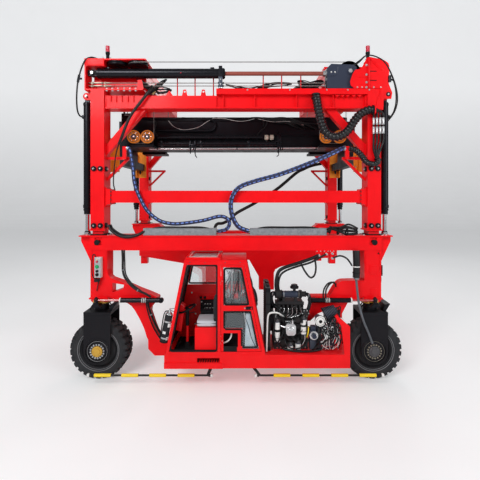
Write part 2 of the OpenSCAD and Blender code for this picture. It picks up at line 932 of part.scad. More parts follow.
module beacons() {
    color("crimson")
        for (p = [[-2780, near_y - 100, cover_z + plate_t], [2860, near_y - 100, cover_z + plate_t]])
            translate(p) {
                cylinder(d = 70, h = 170);
                translate([0, 0, 170]) cylinder(d = 90, h = 130);
            }
}

module pad_adjusters() {
    color(black)
        for (y = [near_y, far_y])
            for (z = [sleeve_z + 110, sleeve_z + 1330])
                both_sides() {
                    s = y < mid_y ? -1 : 1;
                    for (dx = [-70, 70])
                        translate([leg_x + dx, 0, z])
                            rod_y(min(y + s * sleeve_y / 2, y + s * (sleeve_y / 2 + 30)),
                                  max(y + s * sleeve_y / 2, y + s * (sleeve_y / 2 + 30)), adjuster_d);
                    translate([0, y - 100, z]) rod_x(leg_inner - 30, leg_inner, adjuster_d);
                }
}

far_top = chassis_z;
portal_top = tyre_d + 690;
leg_low_z = tyre_d - 250;

function portal_side(s) = [
    for (i = [0:11])
        let (
            corners = [
                [2200, far_top - 230], [2500, far_top - plate_t], [beam_half, far_top - plate_t],
                [beam_half, portal_top + 130], [1770, portal_top - 100], [1320, portal_top - 220],
                [1180, portal_top - 300], [1130, portal_top - 400], [1130, leg_low_z], [660, leg_low_z],
                [660, portal_top - 540], [350, portal_top]
            ],
            c = corners[s > 0 ? i : 11 - i]
        )
            [s * c[0], c[1]]
];

module far_king_bore() {
    translate([0, far_y, portal_top - ring_h - 1])
        cylinder(d = king_pin_d + 2 * seat_gap, h = king_pin_h + 5);
}

module far_chassis_frame() {
    color(red) {
        difference() {
            plate_xz(far_y - 180, far_y + 180)
                polygon(concat(portal_side(1), portal_side(-1)));
            far_king_bore();
        }
        for (s = [-1, 1])
            translate([s > 0 ? 0 : -plate_out - 2500, 0, 0])
                block([2500, far_y - 225, far_top - plate_t], [plate_out, far_y + 225, far_top]);
        both_sides() {
            outer_gusset(far_y, far_top);
            block([2890, far_y - 100, portal_top - 130], [3090, far_y + 100, portal_top + 150]);
        }
        difference() {
            translate([0, far_y, portal_top - ring_h]) cylinder(d = ring_d, h = ring_h);
            far_king_bore();
        }
    }
}

module yoke(x, y, post_top, arm) {
    fork_y = tyre_w / 2 + fork_gap;
    crown_z = tyre_d + 150;
    half_w = 285;
    fork_rim = 45;
    translate([x, y, 0]) {
        for (s = [-1, 1])
            translate([0, s * (fork_y + fork_t / 2), 0])
                plate_xz(-fork_t / 2, fork_t / 2)
                    difference() {
                        union() {
                            translate([-half_w, wheel_r]) square([2 * half_w, crown_z - wheel_r]);
                            translate([0, wheel_r]) circle(half_w);
                        }
                        translate([0, wheel_r]) circle(half_w - fork_rim);
                    }
        block([-half_w, -fork_y - fork_t, crown_z], [half_w, fork_y + fork_t, crown_z + 60]);
        translate([0, 0, crown_z + 60]) cylinder(d = 300, h = post_top - crown_z - 60);
        translate([0, 0, post_top]) cylinder(d = king_pin_d, h = king_pin_h);
        for (s = [0, 1])
            mirror([0, s, 0]) translate([0, fork_y, wheel_r]) rotate([-90, 0, 0])
                difference() {
                    cylinder(r = half_w - fork_rim + 2, h = 12);
                    translate([0, 0, -1]) cylinder(d = hub_d + 2 * seat_gap, h = 14);
                }
        if (arm) {
            block([-70, steer_y - y - 60, post_top - 50], [70, 0, post_top - 15]);
            translate([0, steer_y - y, post_top - 15])
                cylinder(d = 80, h = steer_z - 30 - run_gap - post_top + 15);
        }
    }
}

module left_yoke() {
    color(black) yoke(-king_x, near_y, leg_foot_z - ring_h - run_gap, true);
}

module right_yoke() {
    color(black) yoke(king_x, near_y, leg_foot_z - ring_h - run_gap, true);
}

module far_yoke() {
    color(black) yoke(0, far_y, portal_top - ring_h - run_gap, false);
}

module steer_rod() {
    color(steel)
        translate([0, steer_y, steer_z]) {
            rod_x(barrel_inner + 350, king_x, steer_rod_d);
            translate([king_x, 0, -30]) cylinder(d = 90, h = 60);
        }
}

module left_steer_rod() {
    mirror([1, 0, 0]) steer_rod();
}

module right_steer_rod() {
    steer_rod();
}

module tyre(x, y) {
    r_in = rim_d / 2;
    side = 45;
    color(black)
        translate([x, y, wheel_r]) rotate([90, 0, 0])
            rotate_extrude()
                polygon([
                    [r_in, -tyre_w / 2 + side], [r_in + 60, -tyre_w / 2], [wheel_r - 90, -tyre_w / 2],
                    [wheel_r - 20, -tyre_w / 2 + 40], [wheel_r, -tyre_w / 2 + 90],
                    [wheel_r, tyre_w / 2 - 90], [wheel_r - 20, tyre_w / 2 - 40],
                    [wheel_r - 90, tyre_w / 2], [r_in + 60, tyre_w / 2], [r_in, tyre_w / 2 - side]
                ]);
}

module left_tyre() {
    tyre(-king_x, near_y);
}

module right_tyre() {
    tyre(king_x, near_y);
}

module far_tyre() {
    tyre(0, far_y);
}

module rim(x, y) {
    r = rim_d / 2 - seat_gap;
    w = tyre_w - 90;
    hub_w = tyre_w + 2 * (fork_gap + fork_t) - 10;
    color("goldenrod")
        translate([x, y, wheel_r]) rotate([90, 0, 0]) {
            difference() {
                translate([0, 0, -w / 2]) cylinder(r = r, h = w);
                for (s = [0, 1])
                    mirror([0, 0, s]) translate([0, 0, 20]) cylinder(r = r - 30, h = w);
            }
            translate([0, 0, -hub_w / 2]) cylinder(d = hub_d, h = hub_w);
            translate([0, 0, -150]) cylinder(d = 300, h = 300);
        }
}

module left_rim() {
    rim(-king_x, near_y);
}

module right_rim() {
    rim(king_x, near_y);
}

module far_rim() {
    rim(0, far_y);
}

box_z = land_z + 480;
end_h = 200;
lock_d = 55;
lock_len = 70;
sheave_mid = 2365;
sheave_dx = 165;

module spreader_box() {
    color(black)
        block(
            [-lock_x + 100, mid_y - spreader_w / 2, box_z],
            [lock_x - 100, mid_y + spreader_w / 2, box_z + spreader_h]
        );
    color(black)
        both_rows()
            for (z = [0, 300, spreader_h - 30])
                block(
                    [-lock_x + 160, spreader_w / 2, box_z + z],
                    [lock_x - 160, spreader_w / 2 + 35, box_z + z + 30]
                );
}

module spreader_ends() {
    guide_in = 90;
    color(black) {
        both_sides() {
            block(
                [lock_x - 100, mid_y - lock_y - guide_in, land_z],
                [lock_x + 100, mid_y + lock_y + guide_in, land_z + end_h]
            );
            block(
                [lock_x - 100, mid_y - spreader_w / 2, land_z + end_h],
                [lock_x + 100, mid_y + spreader_w / 2, box_z + spreader_h - 100]
            );
            for (y = [-1, 1])
                translate([lock_x, mid_y + y * lock_y, land_z - lock_len - 30]) {
                    translate([0, 0, 30]) cylinder(d = lock_d, h = lock_len);
                    cylinder(d1 = lock_d - 25, d2 = lock_d, h = 30);
                }
        }
        both_sides() both_rows() sheave_bracket();
    }
}

module sheave_bracket() {
    block(
        [sheave_mid - 330, spreader_w / 2, box_z - 60],
        [sheave_mid + 330, spreader_sheave_y + 70, box_z]
    );
    block(
        [sheave_mid - 300, spreader_sheave_y - 75, box_z],
        [sheave_mid + 300, spreader_sheave_y - 45, sheave_z + 90]
    );
    for (dx = [-sheave_dx, sheave_dx])
        translate([sheave_mid + dx, 0, sheave_z]) {
            rod_y(spreader_sheave_y - 45, spreader_sheave_y + 42, 60 - 2 * seat_gap);
            rod_y(spreader_sheave_y + 27, spreader_sheave_y + 42, 100);
            rod_y(spreader_sheave_y - 45, spreader_sheave_y - 27, 100);
        }
}

sheave_z = box_z + 210;

module spreader_sheaves() {
    color(orange)
        for (sx = [-1, 1])
            for (sy = [-1, 1])
                for (dx = [-sheave_dx, sheave_dx])
                    translate([sx * sheave_mid + dx, mid_y + sy * spreader_sheave_y, sheave_z]) rotate([90, 0, 0])
                        sheave(spreader_sheave_d / 2, 50, 14, 30);
}

module corner_guides() {
    color(orange)
        both_sides()
            for (s = [-1, 1]) {
                block(
                    [lock_x - 150, mid_y + s * (lock_y + 100) - 10, land_z - 200],
                    [lock_x + 120, mid_y + s * (lock_y + 100) + 10, land_z + 600]
                );
                block(
                    [lock_x + 100, mid_y + s * (lock_y + 15) - 75, land_z - 200],
                    [lock_x + 120, mid_y + s * (lock_y + 15) + 75, land_z + 500]
                );
            }
}

module hoist_rod() {
    color("#8a4b40")
        translate([0, hoist_y, hoist_z]) {
            rod_x(hoist_x1 - 200, block_x0, hoist_rod_d);
            rod_x(hoist_x1 - 380, hoist_x1 - 200, hoist_d - 50 - 2 * seat_gap);
        }
}

module sheave_block() {
    half = 105;
    low = deep_top + run_gap - hoist_z;
    color(grey)
        translate([0, hoist_y, hoist_z]) {
            for (s = [-1, 1])
                translate([0, s * (half - 10), 0])
                    plate_xz(-10, 10)
                        difference() {
                            polygon([
                                [block_x0, low], [block_x0 + 620, low], [block_x0 + 640, 110],
                                [block_x0 + 560, 160], [block_x0 + 90, 180], [block_x0, 90]
                            ]);
                            translate([block_sheave_x, sheave_up]) circle(d = 60);
                        }
            block([block_x0, -half, -250], [block_x0 + 30, half, 90]);
        }
    color(black)
        translate([block_sheave_x, hoist_y, hoist_z + sheave_up]) {
            rotate([90, 0, 0]) {
                sheave(block_sheave_d / 2, 60, 14, 60);
                translate([0, 0, -half - 6]) cylinder(d = 60, h = 2 * half + 12);
                translate([0, 0, -half + 20]) cylinder(d = 122, h = 2 * half - 40);
            }
        }
}

door_t = 40;
handle_d = 30;
door_y = front_y + 10;

module door_outline(inset) {
    z_0 = platform_top + pillar + door_gap;
    z_1 = cab_top - pillar - door_gap;
    w = pillar + door_gap;
    polygon([
        [door_x0 + inset, z_0 + inset], [cab_right_at(z_0) - w - inset, z_0 + inset],
        [cab_right_at(z_1) - w - inset, z_1 - inset], [door_x0 + inset, z_1 - inset]
    ]);
}

door_rail = platform_top + 870;
rail_h = 110;
step_z = platform_top + 430;
step_w = 420;

module round_square(lo, hi, r) {
    translate(lo + [r, 0]) square(hi - lo - [2 * r, 0]);
    translate(lo + [0, r]) square(hi - lo - [0, 2 * r]);
    for (x = [lo[0] + r, hi[0] - r])
        for (y = [lo[1] + r, hi[1] - r])
            translate([x, y]) circle(r);
}

module door_openings(inset) {
    edge = 45 + inset;
    low_left = door_x0 + step_w + inset;
    intersection() {
        door_outline(edge);
        union() {
            translate([door_x0 + edge, door_rail + rail_h + inset]) square([1000, 1000]);
            translate([door_x0 + edge, step_z + 90 + inset])
                square([1000, door_rail - step_z - 90 - 2 * inset]);
            translate([low_left, platform_top]) square([1000, door_rail - platform_top - inset]);
        }
    }
}

module door_frame() {
    color(red)
        plate_xz(door_y, door_y + door_t)
            difference() {
                door_outline(0);
                door_openings(0);
                round_square([door_x0 + 45, platform_top + 140], [door_x0 + step_w - 85, step_z], 20);
            }
    color(red)
        for (z = hinge_zs)
            translate([0, 0, knuckle_h + seat_gap]) {
                translate([hinge_x, hinge_y, z]) cylinder(d = knuckle_d, h = knuckle_h);
                block([hinge_x, hinge_y, z], [hinge_x + 34, hinge_y + 6, z + knuckle_h]);
                block([hinge_x + 14, hinge_y, z], [hinge_x + 34, door_y, z + knuckle_h]);
            }
    color(black)
        translate([cab_right_at(door_rail) - pillar - door_gap - 35, 0, door_rail + rail_h / 2])
            rod_y(front_y - handle_out, door_y, handle_d);
}

module door_glass() {
    color("#bcd4dc", 0.4)
        plate_xz(door_y + 15, door_y + 15 + glass_t) door_openings(seat_gap);
}

hose_d = 75;

hose_end_z = chassis_z + 80;
hose_drop = 1560;
left_route = [
    [seat_gap - clamp_x, -100, 240], [-2300, -115, 200], [-2210, -190, -192], [-2159, -220, -542],
    [-2047, -220, -839], [-1883, -215, -1120], [-1641, -200, -1320], [-1374, -190, -1390],
    [-1098, -190, -1380], [-695, -190, -1320], [-360, -180, -1235], [-190, -160, -1280],
    [-140, -145, -1400], [-220, -140, -1520], [seat_gap - tray_left, -140, -hose_drop]
];
right_route = [
    [clamp_x - seat_gap, -100, 240], [2290, -120, 225], [2098, -180, 130], [1610, -220, -83], [960, -220, -327],
    [419, -220, -478], [95, -220, -600], [-60, -220, -780], [-109, -220, -1004], [-67, -200, -1246],
    [60, -160, -1460], [tray_right - seat_gap, -140, -hose_drop]
];

function on_near_row(route) = [
    for (p = smooth_path(route, 2))
        [p[0], near_y + p[1], hose_end_z + (p[2] + hose_drop) * (bracket_z - hose_end_z) / hose_drop]
];

module left_hose() {
    color("navy") tube_along(on_near_row(left_route), hose_d, 10);
}

module right_hose() {
    color("navy") tube_along(on_near_row(right_route), hose_d, 10);
}

duct_route = [
    [1720, -180, 420 - seat_gap], [1722, -195, 350], [1735, -260, 200], [1750, -300, 60], [1775, -310, -60],
    [1820, -320, -250], [1905, -325, -420], [2070, -330, -520], [2250, -325, -480], [2390, -315, -360],
    [2500, -305, -190], [2640, -300, -30], [2800, -295, 50], [duct_x1 - seat_gap, -295, 55]
];

function on_top_beam(route) = [
    for (p = smooth_path(route, 2)) [p[0], near_y + p[1], duct_z + p[2]]
];

module cable_duct() {
    color(black) tube_along(on_top_beam(duct_route), duct_d, 12);
}

module rope_falls() {
    fall = sheave_dx + spreader_sheave_d / 2 + rope_d / 2 + seat_gap;
    color(steel)
        for (sy = [-1, 1])
            for (dx = [-fall, fall])
                both_sides()
                    translate([sheave_mid + dx, mid_y + sy * spreader_sheave_y, sheave_z])
                        cylinder(d = rope_d, h = cross_z - sheave_z);
}

near_chassis_beam();
near_lower_legs();
near_masts();
near_lift_rods();
left_arm();
right_arm();
platform();
cab_frame();
cab_roof();
cab_glass();
cab_console();
driver_seat();
engine();
radiator();
hydraulics();
safety_bars();
cable_trays();
steering_barrels();
service_boxes();
near_sleeves();
far_sleeves();
near_mid_beam();
far_mid_beam();
near_top_beam();
far_top_beam();
cross_beams();
corner_braces();
left_tower();
right_tower();
hoist_cylinder();
lift_cylinders();
tower_sheaves();
beacons();
pad_adjusters();
far_chassis_frame();
far_masts();
far_lift_rods();
left_yoke();
right_yoke();
far_yoke();
left_steer_rod();
right_steer_rod();
left_tyre();
right_tyre();
far_tyre();
left_rim();
right_rim();
far_rim();
spreader_box();
spreader_ends();
spreader_sheaves();
corner_guides();
hoist_rod();
sheave_block();
door_frame();
door_glass();
left_hose();
right_hose();
rope_falls();
cable_duct();
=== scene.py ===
"""Looks of a three-wheeled telescopic container gantry crane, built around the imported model."""
import math
import random

import bmesh
import bpy
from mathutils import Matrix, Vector


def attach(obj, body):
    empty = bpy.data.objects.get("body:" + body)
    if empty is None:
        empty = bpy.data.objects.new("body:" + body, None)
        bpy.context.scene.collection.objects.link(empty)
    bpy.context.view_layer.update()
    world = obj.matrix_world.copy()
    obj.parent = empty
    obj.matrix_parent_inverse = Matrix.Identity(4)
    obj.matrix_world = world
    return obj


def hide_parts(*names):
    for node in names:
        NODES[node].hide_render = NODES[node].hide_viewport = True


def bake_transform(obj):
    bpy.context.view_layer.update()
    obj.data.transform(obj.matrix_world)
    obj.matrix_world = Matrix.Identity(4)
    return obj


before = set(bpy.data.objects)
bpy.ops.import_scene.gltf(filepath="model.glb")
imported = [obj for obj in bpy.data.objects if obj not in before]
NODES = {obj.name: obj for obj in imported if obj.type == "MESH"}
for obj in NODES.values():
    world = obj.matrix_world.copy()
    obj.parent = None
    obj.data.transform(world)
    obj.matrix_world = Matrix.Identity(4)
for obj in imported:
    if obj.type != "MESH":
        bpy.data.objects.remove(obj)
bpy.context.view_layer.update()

NEAR = "near_chassis"
FAR = "far_chassis"
MID_Y = 0.2655
NEAR_Y = MID_Y - 1.9
FAR_Y = MID_Y + 1.9
FRONT_Y = NEAR_Y - 0.8
LEG_X = 2.97
KING_X = 2.94
WHEEL_R = 0.625

# Camera: the photograph's place, aim and lens
CAMERA = (0.154, -9.9145, 3.86)
LENS = 28.275
SHIFT = (-0.00625, -0.0854)


def make_camera():
    data = bpy.data.cameras.new("camera")
    data.sensor_width = 36
    data.lens = LENS
    data.shift_x, data.shift_y = SHIFT
    camera = bpy.data.objects.new("camera", data)
    camera.location = CAMERA
    camera.rotation_euler = (math.pi / 2, 0, 0)
    bpy.context.scene.collection.objects.link(camera)
    bpy.context.scene.camera = camera


make_camera()


# Materials
class Nodes:
    """Adds shader nodes to one material in a few words."""

    def __init__(self, name):
        self.mat = bpy.data.materials.new(name)
        self.mat.use_nodes = True
        self.tree = self.mat.node_tree
        self.bsdf = self.tree.nodes["Principled BSDF"]
        self.coord = self.new("ShaderNodeTexCoord").outputs["Object"]

    def new(self, kind, **values):
        node = self.tree.nodes.new(kind)
        for key, value in values.items():
            setattr(node, key, value)
        return node

    def link(self, a, b):
        self.tree.links.new(a, b)

    def scaled(self, scale):
        if isinstance(scale, (int, float)):
            return self.coord
        mapping = self.new("ShaderNodeMapping")
        mapping.inputs["Scale"].default_value = scale
        self.link(self.coord, mapping.inputs["Vector"])
        return mapping.outputs["Vector"]

    def noise(self, scale, detail=4.0, rough=0.55, stretch=None):
        node = self.new("ShaderNodeTexNoise")
        node.inputs["Scale"].default_value = scale
        node.inputs["Detail"].default_value = detail
        node.inputs["Roughness"].default_value = rough
        self.link(self.scaled(stretch or 1), node.inputs["Vector"])
        return node.outputs["Fac"]

    def ramp(self, fac, stops):
        node = self.new("ShaderNodeValToRGB")
        ramp = node.color_ramp
        while len(ramp.elements) < len(stops):
            ramp.elements.new(0.5)
        for element, (pos, value) in zip(ramp.elements, stops):
            element.position = pos
            element.color = (*value, 1) if hasattr(value, "__len__") else (value, value, value, 1)
        self.link(fac, node.inputs["Fac"])
        return node.outputs["Color"]

    def mix(self, fac, a, b, blend="MIX"):
        node = self.new("ShaderNodeMix", data_type="RGBA", blend_type=blend)
        for socket, value in ((node.inputs[0], fac), (node.inputs[6], a), (node.inputs[7], b)):
            if hasattr(value, "is_output"):
                self.link(value, socket)
            elif hasattr(value, "__len__"):
                socket.default_value = (*value, 1)
            else:
                socket.default_value = value
        return node.outputs[2]

    def math(self, operation, a, b=0.0, clamp=False):
        node = self.new("ShaderNodeMath", operation=operation, use_clamp=clamp)
        for socket, value in zip(node.inputs, (a, b)):
            if hasattr(value, "is_output"):
                self.link(value, socket)
            else:
                socket.default_value = value
        return node.outputs[0]

    def wave(self, index, turns):
        """A sine along one axis."""
        return self.math("SINE", self.math("MULTIPLY", self.axis(index), turns))

    def axis(self, index):
        node = self.new("ShaderNodeSeparateXYZ")
        self.link(self.coord, node.inputs[0])
        return node.outputs[index]

    def bump(self, height, strength, distance):
        node = self.new("ShaderNodeBump")
        node.inputs["Strength"].default_value = strength
        node.inputs["Distance"].default_value = distance
        self.link(height, node.inputs["Height"])
        self.link(node.outputs["Normal"], self.bsdf.inputs["Normal"])

    def colour(self, socket):
        self.link(socket, self.bsdf.inputs["Base Color"])

    def base_colour(self):
        return self.bsdf.inputs["Base Color"].links[0].from_socket

    def clouds(self, low, high, scale, detail=4.0, ends=(0.3, 0.7)):
        """Two colours that run into each other in soft clouds."""
        self.colour(self.ramp(self.noise(scale, detail), [(ends[0], low), (ends[1], high)]))

    def rough(self, fac, low, high):
        self.link(self.ramp(fac, [(0.3, low), (0.7, high)]), self.bsdf.inputs["Roughness"])

    def put(self, **sockets):
        for key, value in sockets.items():
            self.bsdf.inputs[key.replace("_", " ")].default_value = value


def shade(rgb, factor):
    return tuple(min(1.0, c * factor) for c in rgb)


SOIL = (0.42, 0.36, 0.3)


def painted(name, rgb, rough=(0.28, 0.42), coat=0.25, dust=0.0, metallic=0.0, bump=0.12):
    """Sprayed enamel: clouded colour, soft orange peel, scuffs, and dust that thickens towards the ground."""
    n = Nodes(name)
    cloud = n.noise(1.6, 5)
    colour = n.ramp(cloud, [(0.3, shade(rgb, 0.9)), (0.7, shade(rgb, 1.07))])
    streak = n.noise(7, 6, 0.6, (3.0, 3.0, 0.35))
    colour = n.mix(n.ramp(streak, [(0.58, 0.0), (0.78, 0.16)]), colour, shade(rgb, 0.6))
    if dust:
        height = n.math("MULTIPLY_ADD", n.axis(2), -0.45)
        height.node.inputs[2].default_value = 1.0
        low = n.ramp(height, [(0.0, 0.2), (1.0, 1.0)])
        fall = n.math("MULTIPLY", low, n.ramp(n.noise(2.5, 12, 0.8), [(0.3, 0.15), (0.85, 1.0)]))
        colour = n.mix(n.math("MULTIPLY", fall, dust, True), colour, SOIL)
    n.colour(colour)
    n.rough(n.noise(5, 6), *rough)
    n.bump(n.noise(55, 3), bump, 0.004)
    n.put(Metallic=metallic, Coat_Weight=coat, Coat_Roughness=0.15)
    n.bsdf.inputs["Specular IOR Level"].default_value = 0.3 if max(rgb) > 0.03 else 0.16
    n.bsdf.inputs["Specular Tint"].default_value = [0.3 + 0.7 * v / max(rgb) for v in rgb] + [1.0]
    return n


M = {}
RED = (0.86, 0.004, 0.008)
BLACK = (0.005, 0.005, 0.0065)
M["red"] = painted("red_enamel", RED, (0.3, 0.45), 0.12).mat
M["red_low"] = painted("red_enamel_low", RED, (0.32, 0.5), 0.12, dust=0.04).mat
rod_red = painted("red_gloss", (0.42, 0.003, 0.008), (0.1, 0.16), 1.0)
rod_red.put(Coat_IOR=2.3, Coat_Roughness=0.08)
M["red_gloss"] = rod_red.mat
M["dark_red"] = painted("red_mast", (0.62, 0.006, 0.01), (0.3, 0.4), 0.2).mat
M["black"] = painted("black_enamel", BLACK, (0.3, 0.5), 0.08).mat
M["black_low"] = painted("black_enamel_low", BLACK, (0.35, 0.5), 0.06, dust=0.03).mat
M["gloss_black"] = painted("black_gloss", (0.006, 0.006, 0.008), (0.2, 0.32), 0.16).mat
M["orange"] = painted("orange_enamel", (0.92, 0.3, 0.03), (0.35, 0.5), 0.1).mat
M["grey"] = painted("blue_grey_enamel", (0.06, 0.07, 0.095), (0.35, 0.5), 0.15).mat
M["cast"] = painted("cast_black", (0.012, 0.012, 0.014), (0.5, 0.75), 0.0, dust=0.12, bump=0.3).mat
M["gold"] = painted("gold_enamel", (0.66, 0.38, 0.05), (0.3, 0.5), 0.15, dust=0.15, metallic=0.35).mat
M["hub_dark"] = painted("hub_enamel", (0.05, 0.052, 0.06), (0.3, 0.45), 0.2, dust=0.15).mat
M["wear"] = painted("tyre_wear_rings", (0.2, 0.2, 0.21), (0.6, 0.8), 0.0, bump=0.3).mat
M["cream"] = painted("cream_plastic", (0.72, 0.68, 0.56), (0.4, 0.55), 0.1).mat
M["yellow"] = painted("yellow_enamel", (0.9, 0.62, 0.03), (0.35, 0.5), 0.15).mat
M["slate"] = painted("slate_enamel", (0.028, 0.034, 0.055), (0.35, 0.5), 0.2).mat
M["seat_cover"] = painted("seat_cover_vinyl", (0.55, 0.56, 0.6), (0.35, 0.55), 0.2, bump=0.25).mat
M["green"] = painted("green_plastic", (0.02, 0.35, 0.12), (0.3, 0.4), 0.2).mat
M["white"] = painted("white_enamel", (0.78, 0.78, 0.76), (0.35, 0.5), 0.2, dust=0.1).mat
M["oxide"] = painted("rod_oxide", (0.33, 0.09, 0.07), (0.3, 0.5), 0.1, metallic=0.3).mat


def metal(name, rgb, rough, stretch=(1, 1, 12)):
    """Bare steel with turning or drawing marks along one axis."""
    n = Nodes(name)
    marks = n.noise(30, 4, 0.6, stretch)
    n.colour(n.ramp(marks, [(0.3, shade(rgb, 0.85)), (0.7, rgb)]))
    n.rough(marks, rough * 0.7, rough * 1.3)
    n.bump(marks, 0.08, 0.001)
    n.put(Metallic=1.0)
    return n.mat


M["chrome"] = metal("chrome_rod", (0.86, 0.87, 0.89), 0.12)
M["steel"] = metal("bare_steel", (0.62, 0.63, 0.64), 0.35, (4, 4, 4))
M["dark_steel"] = metal("dark_steel", (0.12, 0.12, 0.125), 0.4, (4, 4, 4))
M["silver"] = metal("silver_tube", (0.78, 0.79, 0.8), 0.22, (12, 4, 4))
M["aged"] = metal("aged_steel", (0.36, 0.33, 0.27), 0.45)
M["brass"] = metal("brass", (0.75, 0.55, 0.25), 0.3, (4, 4, 4))


def galvanised():
    n = Nodes("galvanised")
    cell = n.new("ShaderNodeTexVoronoi")
    cell.inputs["Scale"].default_value = 22
    n.link(n.coord, cell.inputs["Vector"])
    tone = n.ramp(cell.outputs["Color"], [(0.1, (0.23, 0.25, 0.27)), (0.9, (0.3, 0.32, 0.34))])
    n.colour(tone)
    n.rough(n.noise(12), 0.45, 0.65)
    n.bump(n.noise(60), 0.1, 0.002)
    n.put(Metallic=0.5)
    return n.mat


M["zinc"] = galvanised()


def rubber(name, rgb, dust=0.0, scale=70, rough=(0.62, 0.85), shine=0.2):
    n = Nodes(name)
    colour = n.ramp(n.noise(3, 6), [(0.3, shade(rgb, 0.8)), (0.75, shade(rgb, 1.4))])
    if dust:
        spots = n.ramp(n.noise(2.5, 12, 0.8), [(0.3, 0.15), (0.85, 1.0)])
        colour = n.mix(n.math("MULTIPLY", spots, dust), colour, (0.33, 0.29, 0.26))
    n.colour(colour)
    n.rough(n.noise(9, 5), *rough)
    n.bump(n.noise(scale, 5, 0.7), 0.3, 0.004)
    n.bsdf.inputs["Specular IOR Level"].default_value = shine
    return n.mat


M["tyre"] = rubber("tyre_rubber", (0.013, 0.015, 0.019), 0.1)
M["hose"] = rubber("hose_rubber", (0.004, 0.004, 0.005), 0.0, 70, (0.34, 0.5), 0.35)
M["duct"] = rubber("duct_plastic", (0.004, 0.004, 0.005), 0.0, 70, (0.2, 0.3), 0.5)
M["seal"] = rubber("seal_rubber", (0.007, 0.007, 0.008), 0.0)
M["spiral"] = rubber("spiral_guard", (0.11, 0.12, 0.135), 0.0)


def cloth():
    n = Nodes("seat_cloth")
    weave = n.math("MULTIPLY", n.wave(0, 1400), n.wave(2, 1400))
    n.clouds((0.008, 0.008, 0.01), (0.022, 0.022, 0.025), 20, 6)
    n.rough(n.noise(15), 0.75, 0.95)
    n.bump(weave, 0.3, 0.001)
    n.put(Sheen_Weight=0.06)
    return n.mat


M["cloth"] = cloth()


def glass():
    n = Nodes("cab_pane")
    n.clouds((0.75, 0.86, 0.9), (0.82, 0.9, 0.93), 2)
    n.rough(n.noise(6, 6), 0.03, 0.08)
    n.put(Transmission_Weight=0.85, Alpha=0.45, IOR=1.3)
    return n.mat


M["glass"] = glass()


def smoked():
    n = Nodes("smoked_pane")
    n.clouds((0.008, 0.01, 0.012), (0.014, 0.016, 0.018), 2)
    n.rough(n.noise(6, 6), 0.25, 0.4)
    n.put(Alpha=0.93)
    n.bsdf.inputs["Specular IOR Level"].default_value = 0.2
    return n.mat


def film():
    n = Nodes("pane_film")
    n.clouds((0.5, 0.58, 0.64), (0.85, 0.89, 0.92), 5, 5, (0.3, 0.75))
    n.rough(n.noise(9, 6), 0.3, 0.6)
    n.put(Alpha=0.72)
    return n.mat


M["smoked"] = smoked()
M["film"] = film()


def lens(name, rgb):
    n = Nodes(name)
    n.clouds(shade(rgb, 0.9), rgb, 6)
    n.rough(n.noise(9), 0.12, 0.25)
    n.bump(n.wave(2, 420), 0.4, 0.003)
    n.put(Coat_Weight=0.5, Transmission_Weight=0.15)
    return n.mat


M["lamp_red"] = lens("lamp_red", (0.7, 0.02, 0.06))
M["lamp_amber"] = lens("lamp_amber", (0.95, 0.45, 0.05))


def rope():
    n = Nodes("wire_rope")
    along = n.math("ADD", n.math("MULTIPLY", n.axis(2), 300), n.math("MULTIPLY", n.axis(0), 260))
    twist = n.math("SINE", along)
    n.colour(n.ramp(twist, [(0.1, (0.16, 0.155, 0.15)), (0.8, (0.45, 0.44, 0.42))]))
    n.rough(n.noise(30), 0.4, 0.6)
    n.bump(twist, 0.5, 0.002)
    n.put(Metallic=0.7)
    return n.mat


M["rope"] = rope()


def guard():
    """The hoses' woven guard: dark blue cloth with rows of light blue dashes along it."""
    n = Nodes("hose_guard")
    place = n.new("ShaderNodeUVMap")
    place.uv_map = "along"
    parts = n.new("ShaderNodeSeparateXYZ")
    n.link(place.outputs["UV"], parts.inputs[0])
    along = n.math("FRACT", n.math("DIVIDE", parts.outputs["X"], 0.1))
    turn = n.math("FRACT", n.math("MULTIPLY", parts.outputs["Y"], 4))
    dash = n.math("MULTIPLY", n.math("LESS_THAN", along, 0.6), n.math("LESS_THAN", turn, 0.42))
    base = n.ramp(n.noise(12, 5), [(0.3, (0.006, 0.008, 0.03)), (0.7, (0.012, 0.018, 0.07))])
    light = n.ramp(n.noise(9, 5), [(0.3, (0.07, 0.14, 0.46)), (0.7, (0.17, 0.28, 0.66))])
    n.colour(n.mix(dash, base, light))
    n.rough(n.noise(15), 0.45, 0.7)
    weave = n.math("SINE", n.math("MULTIPLY", parts.outputs["X"], 900))
    n.bump(weave, 0.3, 0.002)
    return n.mat


M["guard"] = guard()


def banded(name, dark, light, centres, half):
    """Yellow bands on black at the given places along X."""
    n = painted(name, dark, (0.35, 0.5), 0.15)
    x = n.axis(0)
    fac = None
    for c in centres:
        near = n.math("LESS_THAN", n.math("ABSOLUTE", n.math("SUBTRACT", x, c)), half)
        fac = near if fac is None else n.math("ADD", fac, near, True)
    old = n.base_colour()
    cloud = n.ramp(n.noise(4, 5), [(0.3, shade(light, 0.9)), (0.7, light)])
    n.colour(n.mix(fac, old, cloud))
    return n.mat


BAR_BANDS = [-2.72, -2.16, -1.59, -1.01, 0.95, 1.54, 2.13, 2.71]
M["bars"] = banded("bar_bands", (0.02, 0.02, 0.02), (0.92, 0.66, 0.03), BAR_BANDS, 0.171)


def split_by_x(name, limit, left, right):
    """Two paints on one node, parted at a value of X."""
    n = painted(name, right, (0.35, 0.5), 0.15)
    side = n.math("LESS_THAN", n.axis(0), limit)
    old = n.base_colour()
    other = n.ramp(n.noise(3), [(0.3, shade(left, 0.92)), (0.7, left)])
    n.colour(n.mix(side, old, other))
    return n.mat


M["boxes"] = split_by_x("service_paint", -2.2, (0.75, 0.75, 0.73), (0.015, 0.015, 0.017))

